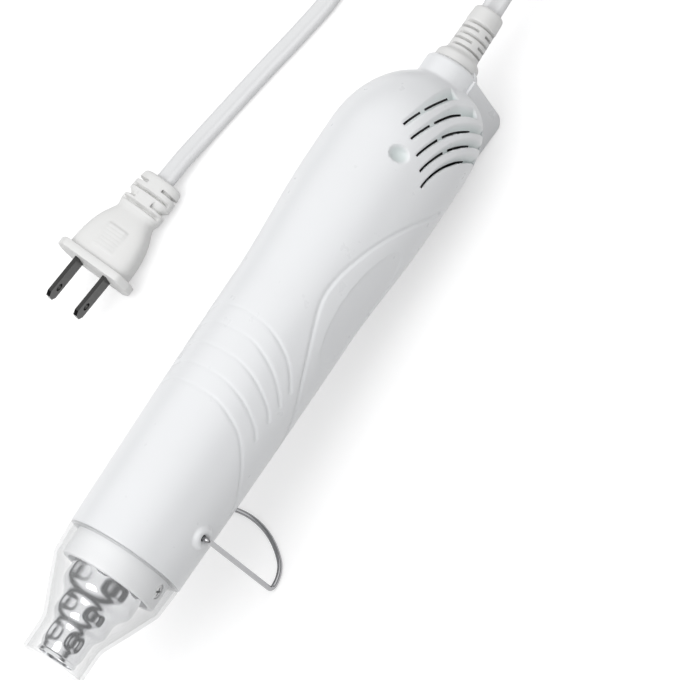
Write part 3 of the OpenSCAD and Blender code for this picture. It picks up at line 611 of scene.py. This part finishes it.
def vent_depth(x, y, z):
    """Hollow outside each slot, deepest at the slot and fading away from it."""
    radius = np.hypot(x - VENT_X, z - VENT_Z)
    angle = np.degrees(np.arctan2(x - VENT_X, z - VENT_Z))
    depth = np.zeros_like(x)
    for i, end in enumerate(HOLLOW_TO):
        r = vent_r(i, angle)
        start = np.where(y < 0, VENT_FROM[i], VENT_FROM_FAR[i]) - 1.0
        along = smoothstep(start, start + 4, angle) * (1 - smoothstep(end - 1.2, end, angle))
        grow = smoothstep(start, RIB_AT + 25, angle)
        outer = r + 0.6 + 1.5 * grow
        fade = np.clip((outer - radius) / (outer - r + 0.2), 0, 1) ** 0.7
        deep = smoothstep(r - 0.6, r - 0.4, radius) * fade
        depth = np.maximum(depth, (HOLLOW_DEPTH + HOLLOW_GROWTH * grow) * deep * along)
    return depth


def vent_inwards(x, y, z):
    """Direction in which a hollow sinks, the same slant as that of its slot."""
    angle = np.arctan2(x - VENT_X, z - VENT_Z)
    slant_x, slant_z = VENT_SLANT * np.sin(angle), VENT_SLANT * np.cos(angle)
    return np.stack((slant_x, np.sign(y), slant_z), -1)


def arc_cutter(i, start, end, mirror):
    """Cutter along an arc that goes in aslant, so that the wall under the slot stays hidden."""
    steps = max(4, int((end - start) / 2))
    verts = []
    for a in np.radians(np.linspace(start, end, steps + 1)):
        middle = float(vent_r(i, math.degrees(a)))
        x, z = VENT_X + middle * math.sin(a), VENT_Z + middle * math.cos(a)
        surface = 20.0
        for _ in range(4):
            radius = float(skin_r(x, math.atan2(surface, z)))
            surface = math.sqrt(max(radius**2 - z * z, 30))
        corners = ((-1, VENT_CUT_IN), (1, VENT_CUT_IN), (1, VENT_CUT_OUT), (-1, VENT_CUT_OUT))
        for aside, out in corners:
            r = middle + aside * VENT_W / 2 + VENT_SLANT * out
            y = (surface + out) * mirror
            verts.append((VENT_X + r * math.sin(a), y, VENT_Z + r * math.cos(a)))
    faces = capped(steps + 1, 4)
    return new_object("cutter", verts, flipped(faces) if mirror > 0 else faces, CUT_PAINTED_SHADE)


def slot_spans(i, start):
    """Angles between which a slot is open, on each side of its rib."""
    if i == 0:
        return [(start, VENT_TO[i])]
    gap = RIB_GAP / (VENT_R + i * VENT_STEP)
    spans = [(start, RIB_AT - gap), (max(start, RIB_AT + gap), VENT_TO[i])]
    return [(a, b) for a, b in spans if b > a]


def vent_cutters():
    cutters = []
    for mirror, starts in ((-1, VENT_FROM), (1, VENT_FROM_FAR)):
        for i, start in enumerate(starts):
            cutters += [arc_cutter(i, a, b, mirror) for a, b in slot_spans(i, start)]
    return cutters


# Screw well on the back, and a raised ring round each pin of the stand.
SCREW_AT = (156.2, -15)
WELL_R, WELL_DEPTH = 2.9, 1.9
PIVOT_X, PIN_HOLE_R = 17.3, 1.15
RING_HEIGHT, RING_DISH = 1.45, 0.9


def well_off(x, y):
    return np.hypot(x - SCREW_AT[0], y - SCREW_AT[1])


# Painted shade over the screw well's bowl, fading out towards its rim.
def well_painted_shade(x, y, z):
    return np.where(z > 5, 0.8 * (1 - smoothstep(1.8, 3.0, well_off(x, y))), 0)


def round_depth(x, y, z):
    """Depth of the screw well, less the height of the rings, which stand out."""
    bowl = np.clip(1 - (well_off(x, y) / WELL_R) ** 2, 0, 1) ** 0.7
    depth = np.where(z > 5, WELL_DEPTH * bowl, 0)
    ring = np.hypot(x - PIVOT_X, z)
    raised = RING_HEIGHT * (1 - smoothstep(3.0, 4.5, ring))
    return depth - (raised - RING_DISH * (1 - smoothstep(1.1, 2.0, ring)))


def pivot_cutter():
    steps = 32
    turn = np.arange(steps) * 2 * math.pi / steps
    ring = [(PIVOT_X + PIN_HOLE_R * math.cos(a), PIN_HOLE_R * math.sin(a)) for a in turn]
    verts = [(x, y, z) for y in (-30, 30) for x, z in ring]
    return new_object("cutter", verts, flipped(capped(2, steps)), CUT_PAINTED_SHADE)


def seam_turn(radius):
    """Turn from the back of the housing to the edge of its cover, for each radius."""
    turn = np.pi - np.arcsin(np.clip(COVER_HALF / radius, 0, 1))
    return np.where(radius > COVER_HALF, turn, np.pi / 2)


def outer_skin(outline):
    """Points of the housing's outside, and how much painted shade each gets in the vent hollows and
    the screw well.
    """
    along, plain_r = np.array(outline).T
    across = np.linspace(-1, 1, SKIN_COLS)[None, :]
    plain = (along < 1.5) | (along > DOME_START + DOME_LEN)
    half = seam_turn(np.where(plain, plain_r, skin_r(along, np.pi)))[:, None]
    turn = half * across
    x = np.repeat(along[:, None], SKIN_COLS, 1)
    r = np.where(plain[:, None], plain_r[:, None], skin_r(x, turn))
    y, z = -r * np.sin(turn), r * np.cos(turn)
    to_seam = (1 - np.abs(across)) * half * r
    depth = side_depth(x, z) + round_depth(x, y, z)
    depth += grip_depth(x, r, np.abs(np.degrees(turn)))
    depth += SEAM_DEPTH * (1 - smoothstep(0, SEAM_WIDTH, to_seam))
    dressed = smoothstep(1.0, 2.0, x) * (1 - smoothstep(NECK_FROM, NECK_FROM + 1, x))
    depth *= dressed
    hollow = vent_depth(x, y, z) * dressed
    dx, dr = np.gradient(x, axis=0), np.gradient(r, axis=0)
    size = np.hypot(dx, dr)
    points = around(x + depth * dr / size, r - depth * dx / size, -turn)
    points -= vent_inwards(x, y, z) * hollow[..., None]
    # Painted shade: the deeper the vent hollow, the darker its colour, and the screw well's bowl is
    # darkened too.
    painted_shade = np.clip(hollow / HOLLOW_FULL + well_painted_shade(x, y, z), 0, 1)
    return points.reshape(-1, 3), painted_shade.reshape(-1)


def inner_skin(outline):
    along, radius = np.array(outline).T
    across = np.linspace(-1, 1, (SKIN_COLS - 1) // COARSE + 1)
    turn = seam_turn(radius)[:, None] * across[None, :]
    return around(along[:, None], radius[:, None], -turn).reshape(-1, 3)


def shell_faces(rows, inner_rows):
    """Outside, inside and the edges between them, with five steps outside to one inside."""
    cols, inner_cols = SKIN_COLS, (SKIN_COLS - 1) // COARSE + 1
    base = rows * cols
    faces = quads(rows, cols) + flipped(quads(inner_rows, inner_cols, base=base))
    for k in range(inner_rows - 1):
        first = [(COARSE * k + t) * cols for t in range(COARSE + 1)]
        last = [f + cols - 1 for f in first]
        a, b = base + k * inner_cols, base + (k + 1) * inner_cols
        faces.append(tuple(first) + (b, a))
        faces.append(tuple(last[::-1]) + (a + inner_cols - 1, b + inner_cols - 1))
    for k in range(inner_cols - 1):
        first = [COARSE * k + t for t in range(COARSE + 1)]
        last = [(rows - 1) * cols + f for f in first]
        a, b = base + k, base + (inner_rows - 1) * inner_cols + k
        faces.append(tuple(first[::-1]) + (a, a + 1))
        faces.append(tuple(last) + (b + 1, b))
    return faces


def make_main_shell():
    outer = outer_outline()
    inner = inner_outline(outer)
    outside, painted_shade = outer_skin(outer)
    verts = np.concatenate((outside, inner_skin(inner)))
    faces = shell_faces(len(outer), len(inner))
    shell = new_object("housing_shell", verts, faces, HOUSING, 40)
    # The second slot holds the painted shade for the walls of the cut slots and pin holes.
    shell.data.materials.append(CUT_PAINTED_SHADE)
    # The hollow attribute carries the painted shade to the housing's material.
    hollow = shell.data.attributes.new("hollow", "FLOAT", "POINT")
    shade = np.zeros(len(verts), dtype=np.float32)
    shade[:len(painted_shade)] = painted_shade
    hollow.data.foreach_set("value", shade)
    cut(shell, vent_cutters() + [pivot_cutter()])
    shell.data.transform(TOOL)
    return ride_as(shell, "tool", "housing_white", "main_shell")


make_main_shell()

# Nozzle end
GUARD_MOUTH_R, GUARD_WALL = 11.4, 1.2
GUARD_SHOULDER = ((-12.6, 19.3, 1.0), (-19.7, 16.3, 0.3), (-26.6, 13.1, 2.5), (-30.1, 11.6, 2.5))
COLLAR_SCREW_X, COLLAR_SCREW_TURN = -4.5, 100
NOZZLE_OUTLINE = [
    (1, 13.2), (-15.6, 13.2, 1.2), (-17.6, 12.3, 1.0), (-19.4, 10.6, 1.0), (-21, 10, 1.0),
    (-25.2, 10, 1.2), (-27, 9.6, 1.2), (-29, 8, 1.2), (-30.4, 7.7, 1.0), (-36, 7.7, 1.0),
    (-38, 7.0, 0.8), (-38.8, 6.8, 0.5), (-39.1, 7.1, 0.3), (-40.2, 7.1, 0.3),
]
NOZZLE_WALL = 0.8

# Rows of pressed dents as middle, length and width in degrees, six to a row.
DENTS = ((-12.6, 6.0, 42), (-23.1, 4.4, 44), (-33.2, 5.6, 46))
DENTS_PER_ROW, DENT_TURN, DENT_DEPTH = 6, 7, 0.7


def make_guard():
    outside = [
        (-0.05, 20.9), (-1.4, 20.9), (-10.8, 20.3, 1.0), (-12.8, 19.4, 1.5), (-20, 16.3),
        (-27, 13.1, 2.5), (-30.5, 11.6, 2.5), (-33, GUARD_MOUTH_R, 1.5), (-42, GUARD_MOUTH_R, 0.4),
    ]
    inside = [(-42, GUARD_MOUTH_R - GUARD_WALL, 0.4), (-33, GUARD_MOUTH_R - GUARD_WALL, 1.5)]
    inside += [(x, r - GUARD_WALL, bend) for x, r, bend in GUARD_SHOULDER[::-1]]
    inside += [(-10.8, 20.3 - GUARD_WALL), (-0.6, 20.9 - GUARD_WALL), (-0.6, 17.55), (-0.05, 17.55)]
    outline = densify(rounded(outside + inside, 0.3), 2.0)
    return ride_as(revolved("guard", outline, GUARD, 128), "tool", "guard_clear", "nozzle_guard")


def collar_drill(turn, radius, low, high):
    """Closed cylinder that stands out of the axis at a collar screw's place."""
    steps = 32
    ring = np.arange(steps) * 2 * math.pi / steps
    verts = [(COLLAR_SCREW_X + radius * math.cos(a), radius * math.sin(a), height)
             for height in (low, high) for a in ring]
    return new_object("cutter", verts, capped(2, steps), COLLAR, matrix=turn)


def make_collar():
    outline = [
        (-10.2, 15.3), (-10.2, 17.4, 0.7), (2.2, 17.4), (2.2, 18.8), (4.2, 18.8), (4.2, 17.4),
        (8, 17.4), (8, 15.3), (-2, 15.3), (-2, 13.25), (-7, 13.25), (-7, 15.3),
    ]
    outline = densify(rounded(outline, 0.25, 3), 2.0)
    collar = revolved("collar", outline, COLLAR, 128, Matrix())
    cutters = []
    for side in (-1, 1):
        turn = Matrix.Rotation(math.radians(COLLAR_SCREW_TURN * side), 4, "X")
        cutters += [collar_drill(turn, 1.4, 10, 20), collar_drill(turn, 2.7, 15.9, 20)]
    cut(collar, cutters)
    collar.data.transform(TOOL)
    return ride_as(collar, "tool", "collar_white", "nozzle_collar")


def cross_bar(spin):
    """Bar that cuts one slot of a cross into a screw head whose axis is x."""
    corners = ((-1.5, -0.36), (1.5, -0.36), (1.5, 0.36), (-1.5, 0.36))
    verts = [(x, y, z) for x in (16.3, 18) for y, z in corners]
    turn = Matrix.Rotation(math.radians(spin), 4, "X")
    return new_object("cutter", verts, capped(2, 4), CUT_PAINTED_SHADE, matrix=turn)


def make_collar_screw(name, side):
    """Cross-slot screw head, sunk in the collar."""
    outline = [(14, 0.02), (14, 1.2), (15.9, 1.2), (15.9, 2.55), (16.8, 2.55, 0.3), (17.1, 1.5, 0.8),
               (17.15, 0.02)]
    head = revolved(name, rounded(outline, 0.1, 3), STEEL, 48, Matrix())
    # The second slot holds the painted shade for the walls of the cross slots.
    head.data.materials.append(CUT_PAINTED_SHADE)
    cut(head, [cross_bar(20), cross_bar(110)])
    turn = Matrix.Rotation(math.radians(COLLAR_SCREW_TURN * side), 4, "X")
    outwards = Matrix.Rotation(-math.pi / 2, 4, "Y")
    head.data.transform(TOOL @ turn @ Matrix.Translation((COLLAR_SCREW_X, 0, 0)) @ outwards)
    return head


def make_collar_screws():
    ride_as(make_collar_screw("collar_screw_a", -1), "tool", "screw_steel", "collar_screws")
    ride_as(make_collar_screw("collar_screw_b", 1), "tool", "screw_steel")


def dent_depth(x, turn):
    depth = np.zeros((len(x), len(turn)))
    for middle, length, width in DENTS:
        along = np.abs(x - middle)[:, None] / (length / 2 + 0.5)
        for k in range(DENTS_PER_ROW):
            off = np.degrees(turn) - DENT_TURN - 360 / DENTS_PER_ROW * k
            across = np.abs((off + 180) % 360 - 180)[None, :] / (width / 2 + 1)
            near = (along**3 + across**3) ** (1 / 3)
            depth = np.maximum(depth, DENT_DEPTH * (1 - smoothstep(0.45, 1.15, near)))
    return depth


def make_nozzle():
    outline = densify(rounded(NOZZLE_OUTLINE, 0.5, 5, closed=False), 0.4, closed=False)
    x, r = np.array(outline).T
    steps = 288
    turn = np.arange(steps) * 2 * np.pi / steps
    radius = r[:, None] - dent_depth(x, turn)
    outer = around(x[:, None], radius, turn)
    inner = around(x[:, None], radius - NOZZLE_WALL, turn)[::-1]
    verts = np.concatenate((outer, inner)).reshape(-1, 3)
    faces = quads(2 * len(x), steps, close_rows=True, close_cols=True)
    nozzle = new_object("nozzle_shell", verts, faces, CHROME, 40, TOOL)
    return ride_as(nozzle, "tool", "nozzle_chrome", "nozzle")


def make_nozzle_flange():
    outline = rounded([(-2, 12.9), (-2, 15.1), (-1.2, 15.1), (-1.2, 12.9)], 0.2, 3)
    return ride_as(revolved("nozzle_flange", outline, CHROME), "tool", "nozzle_chrome")


make_guard()
make_collar()
make_collar_screws()
make_nozzle()
make_nozzle_flange()

# Wire stand
# It is drawn about its pivot, where the pins' axis crosses the middle plane.
WIRE_R = 0.9
PIN_END_Y, PIN_END_R = 18.95, 0.72
STAND_HALF, STAND_LEG = 24.3, 46
PIVOT = (SHIFT_X + PIVOT_X * math.cos(INCLINE), 0, STAND_LEG + WIRE_R)
BEND, FOOT_BEND, FOOT_CORNER, FOOT_TURN = 1.2, 2, 11, 42.7
LEAN = math.radians(2.7)


def arc_points(centre, radius, start, end, u, w, steps):
    """Points of an arc in the plane of u and w, with angles in degrees from u to w."""
    centre, u, w = (np.array(p, float) for p in (centre, u, w))
    angles = np.radians(np.linspace(start, end, steps + 1))
    return [centre + radius * (u * math.cos(a) + w * math.sin(a)) for a in angles]


def leg_points():
    """Middle of the wire from one pin down the leaning leg to the level foot."""
    down = np.array((-math.sin(LEAN), 0, -math.cos(LEAN)))
    ahead = np.array((math.cos(LEAN), 0, -math.sin(LEAN)))
    length = (STAND_LEG - FOOT_BEND - FOOT_BEND * math.sin(LEAN)) / math.cos(LEAN)
    elbow = np.array((0, -STAND_HALF + BEND, 0)) + BEND * down
    ankle = np.array((0, -STAND_HALF, 0)) + length * down + FOOT_BEND * ahead
    path = [np.array((0, -PIN_END_Y, 0))]
    path += arc_points(elbow, BEND, 0, 90, -down, (0, -1, 0), 6)
    path += arc_points(ankle, FOOT_BEND, 0, 90 + math.degrees(LEAN), -ahead, down, 8)
    return path, ankle[0]


def foot_points(corner_x):
    """Middle of the wire along half of the level foot: a corner, then the crown to its middle."""
    turn = math.radians(FOOT_TURN)
    corner_y = -STAND_HALF + FOOT_CORNER
    corner = (corner_x, corner_y, -STAND_LEG)
    crown_r = FOOT_CORNER - corner_y / math.sin(turn)
    crown = (corner_x + corner_y / math.tan(turn), 0, -STAND_LEG)
    path = arc_points(corner, FOOT_CORNER, -90, -FOOT_TURN, (1, 0, 0), (0, 1, 0), 12)[1:]
    path += arc_points(crown, crown_r, -FOOT_TURN, 0, (1, 0, 0), (0, 1, 0), 8)[1:]
    return path


def make_stand():
    half, corner_x = leg_points()
    half += foot_points(corner_x)
    path = half + [p * (1, -1, 1) for p in half[-2::-1]]
    sides = 20
    verts = []
    up = np.array((1.0, 0, 0))
    for i, p in enumerate(path):
        way = way_at(path, i)
        up = up - way * np.dot(up, way)
        up /= np.linalg.norm(up)
        side = np.cross(way, up)
        radius = PIN_END_R if i in (0, len(path) - 1) else WIRE_R
        for k in range(sides):
            a = 2 * math.pi * k / sides
            verts.append(p + radius * (up * math.cos(a) + side * math.sin(a)))
    place = Matrix.Translation(Vector(PIVOT) * MM) @ Matrix.Scale(MM, 4)
    stand = new_object("stand", verts, capped(len(path), sides), WIRE, 50, place)
    return ride_as(stand, "stand", "stand_steel", "stand_wire")


make_stand()

# Strain relief
RELIEF_GAPS, RELIEF_GAP_X, RELIEF_PITCH, RELIEF_GAP_DEPTH = 5, 204.2, 2.35, 1.7
RELIEF_OUTLINE = [
    (185.9, 0.001), (185.9, 6.9), (188.4, 6.9), (188.4, 5), (197.4, 5), (197.4, 7.5),
    (198, 8.1, 0.6), (200.9, 7.9, 0.9), (202.5, 6.0, 0.9), (214.4, 5.65), (214.9, 5.8, 0.3),
    (219.7, 5.5, 0.8), (220.45, 4.9, 0.4), (220.45, 0.001),
]


def relief_gap_depth(x, turn):
    """Gaps round the sleeve, each bridged on two sides, in turn with the next one's bridges."""
    depth = np.zeros((len(x), len(turn)))
    for i in range(RELIEF_GAPS):
        middle = RELIEF_GAP_X + i * RELIEF_PITCH
        band = 1 - smoothstep(0.22, 0.45, np.abs(x - middle))
        bridge = np.abs((turn - RELIEF_TURN - 90 * (i % 2) + 90) % 180 - 90)
        open_part = smoothstep(12, 17, bridge)
        depth = np.maximum(depth, RELIEF_GAP_DEPTH * band[:, None] * open_part[None, :])
    return depth


def make_relief():
    outline = densify(rounded(RELIEF_OUTLINE, 0.2, closed=False), 0.25, closed=False)
    x, r = np.array(outline).T
    steps = 144
    turn = np.arange(steps) * 360 / steps
    depth = relief_gap_depth(x, turn) * (r > 5)[:, None]
    verts = around(x[:, None], r[:, None] - depth, np.radians(turn)).reshape(-1, 3)
    relief = new_object("relief", verts, capped(len(x), steps), RELIEF, 40, TOOL)
    return ride_as(relief, "tool", "relief_vinyl", "strain_relief")


make_relief()

# Plug
# It is drawn in its own frame: x runs from the lead to the blades, with 0 at the flange's face.
PLUG_YAW, PLUG_RISE, PLUG_ROLL, PLUG_LEN = 175, 7.9, 15, 40.2
FLANGE_T, FLANGE_W, FLANGE_H = 3.2, 32, 15
FLANGE_CORNER, FLANGE_SIDE_HALF = 3.5, 2.5

# Sections of the grip and its sleeve as x, width, height and the power of their superellipse.
PLUG_STATIONS = [
    (-2.9, 25, 11.6, 4), (-6, 25, 11.6, 4), (-10, 24.4, 11.5, 4), (-14, 23, 11.2, 4),
    (-18, 20.6, 10.6, 4), (-21, 18, 9.8, 3.6), (-23.6, 15.8, 9, 3.2), (-25.4, 16.4, 9, 2.8),
    (-27, 17.4, 9.2, 2.6), (-34, 17.2, 9.1, 2.6), (-38, 16.4, 8.8, 2.5), (-39.6, 15.6, 8.3, 2.4),
    (-40.2, 14, 7.2, 2.4),
]
SLEEVE_GAPS, SLEEVE_GAP_X, SLEEVE_PITCH, SLEEVE_GAP_DEPTH = 4, -27.3, 3, 2.1
PANEL_X, PANEL_HEIGHT, PANEL_RIDGE, PANEL_PITCH = -11.8, 0.45, 0.18, 1.4


def plug_matrix():
    """Turns the plug's own millimetres into the shared frame's metres."""
    yaw = Matrix.Rotation(math.radians(PLUG_YAW), 4, "Z")
    rise = Matrix.Rotation(-math.radians(PLUG_RISE), 4, "Y")
    roll = Matrix.Rotation(-math.radians(PLUG_ROLL), 4, "X")
    place = Matrix.Translation(Vector(PLUG_END) * MM) @ yaw @ rise @ roll
    return place @ Matrix.Scale(MM, 4) @ Matrix.Translation((PLUG_LEN, 0, 0))


PLUG_FRAME = plug_matrix()


def superellipse(w, h, power, a):
    c, s = math.cos(a), math.sin(a)
    y = w / 2 * math.copysign(abs(c) ** (2 / power), c)
    return y, h / 2 * math.copysign(abs(s) ** (2 / power), s)


def sleeve_gap_depth(x, a):
    """Gaps of the sleeve, open by turns above and below and on its two sides."""
    depth = 0.0
    for i in range(SLEEVE_GAPS):
        off = abs(x - SLEEVE_GAP_X + i * SLEEVE_PITCH)
        band = 1 - float(smoothstep(0.35, 0.65, off))
        facing = abs(math.cos(a)) if i % 2 else abs(math.sin(a))
        depth = max(depth, SLEEVE_GAP_DEPTH * band * float(smoothstep(0.28, 0.4, facing)))
    return depth


def panel_height(x, y, z):
    """Ridged panel for the thumb on each broad face of the grip."""
    if abs(z) <= 3:
        return 0.0
    off = x - PANEL_X
    panel = (1 - float(smoothstep(3.5, 4.1, abs(y)))) * (1 - float(smoothstep(4.5, 5.1, abs(off))))
    ridge = 0.5 + 0.5 * math.cos(2 * math.pi * off / PANEL_PITCH)
    return panel * (PANEL_HEIGHT + PANEL_RIDGE * ridge)


def make_plug():
    rows = [tuple(p) for p in curved(PLUG_STATIONS, 9)]
    steps = 120
    verts = []
    for x, w, h, power in rows:
        for k in range(steps):
            a = 2 * math.pi * k / steps
            y, z = superellipse(w, h, power, a)
            grown = panel_height(x, y, z) - sleeve_gap_depth(x, a)
            scale = 1 + grown / math.hypot(y, z)
            verts.append((x, y * scale, z * scale))
    faces = flipped(capped(len(rows), steps))
    body = new_object("plug_grip", verts, faces, PLUG, 45, PLUG_FRAME)
    return ride_as(body, "tool", "plug_vinyl", "plug_body")


def make_flange():
    half_w, half_h, side = FLANGE_W / 2, FLANGE_H / 2, FLANGE_SIDE_HALF
    flat = half_w - FLANGE_CORNER
    outline = [(-half_w, -side), (-flat, -half_h), (flat, -half_h), (half_w, -side),
               (half_w, side), (flat, half_h), (-flat, half_h), (-half_w, side)]
    outline = rounded(outline, 1.2)
    rim = ((0, 0.5), (0.15, 0.15), (0.5, 0))
    layers = [(-x, inset) for x, inset in rim] + [(x - FLANGE_T, inset) for x, inset in rim[::-1]]
    verts = [(x, y * (1 - inset / half_w), z * (1 - inset / half_h))
             for x, inset in layers for y, z in outline]
    faces = capped(len(layers), len(outline))
    flange = new_object("plug_flange", verts, faces, PLUG, 40, PLUG_FRAME)
    return ride_as(flange, "tool", "plug_vinyl")


plug_grip = make_plug()
plug_flange = make_flange()

# Floor and light
FLOOR_HALF, FLOOR_Z = 4, -0.0002
FLOOR_GREY, FLOOR_GLOW = 0.6, 0.5

# Brightness of the surroundings from straight down, 0, over the horizon, 0.5, to overhead, 1.
WORLD_RAMP = (
    (0.49, 0.3), (0.5, 0.75), (0.535, 0.65), (0.575, 0.2), (0.62, 0.12), (0.7, 0.15),
    (0.77, 0.42), (0.86, 0.95),
)
WORLD_DOWN, WORLD_UP, WORLD_STRENGTH = 0.3, 1, 1.25
KEY_PLACE, KEY_AIM, KEY_SIZE, KEY_POWER = (-0.5, -0.1, 1.5), (0, 0, 0), 0.9, 7


def math_node(tree, operation, first, second):
    """Output of a maths node that takes an output and either another output or a number."""
    node = tree.nodes.new("ShaderNodeMath")
    node.operation = operation
    tree.links.new(first, node.inputs[0])
    if isinstance(second, float):
        node.inputs[1].default_value = second
    else:
        tree.links.new(second, node.inputs[1])
    return node.outputs[0]


def make_stage():
    """Pale floor that glows for the camera, in reflections and behind what is clear."""
    material, tree, shader = shader_nodes("floor_white")
    shader.inputs["Base Color"].default_value = (FLOOR_GREY, FLOOR_GREY, FLOOR_GREY, 1)
    shader.inputs["Roughness"].default_value = 0.9
    shader.inputs["Emission Color"].default_value = (1, 1, 1, 1)
    path = tree.nodes.new("ShaderNodeLightPath")
    seen = path.outputs["Is Camera Ray"]
    for ray in ("Is Glossy Ray", "Is Transmission Ray"):
        seen = math_node(tree, "MAXIMUM", seen, path.outputs[ray])
    glow = math_node(tree, "MULTIPLY", seen, FLOOR_GLOW)
    tree.links.new(glow, shader.inputs["Emission Strength"])
    corners = [(x * FLOOR_HALF, y * FLOOR_HALF, 0) for x, y in ((-1, -1), (1, -1), (1, 1), (-1, 1))]
    floor = new_object("floor", corners, [(0, 1, 2, 3)], material)
    floor.location.z = FLOOR_Z


def make_key_light():
    data = bpy.data.lights.new("key", "AREA")
    data.shape = "RECTANGLE"
    data.size = data.size_y = KEY_SIZE
    data.energy = KEY_POWER
    light = bpy.data.objects.new("key", data)
    light.location = KEY_PLACE
    way = Vector(KEY_AIM) - Vector(KEY_PLACE)
    light.rotation_euler = way.to_track_quat("-Z", "Y").to_euler()
    bpy.context.scene.collection.objects.link(light)


def make_world():
    """Bright overhead and along the horizon, with a dim band between them for the metal to show."""
    world = bpy.data.worlds.new("studio")
    world.use_nodes = True
    tree = world.node_tree
    coords = tree.nodes.new("ShaderNodeTexCoord")
    split = tree.nodes.new("ShaderNodeSeparateXYZ")
    height = tree.nodes.new("ShaderNodeMapRange")
    height.inputs["From Min"].default_value = -1
    ramp = tree.nodes.new("ShaderNodeValToRGB")
    tree.links.new(coords.outputs["Generated"], split.inputs["Vector"])
    tree.links.new(split.outputs["Z"], height.inputs["Value"])
    tree.links.new(height.outputs["Result"], ramp.inputs["Fac"])
    steps = ramp.color_ramp.elements
    steps[0].color = (WORLD_DOWN, WORLD_DOWN, WORLD_DOWN, 1)
    steps[1].color = (WORLD_UP, WORLD_UP, WORLD_UP, 1)
    for place, value in WORLD_RAMP:
        steps.new(place).color = (value, value, value * 1.01, 1)
    background = tree.nodes["Background"]
    background.inputs["Strength"].default_value = WORLD_STRENGTH
    tree.links.new(ramp.outputs["Color"], background.inputs["Color"])
    bpy.context.scene.world = world


make_stage()
make_key_light()
make_world()
bpy.context.scene.view_settings.view_transform = "Standard"
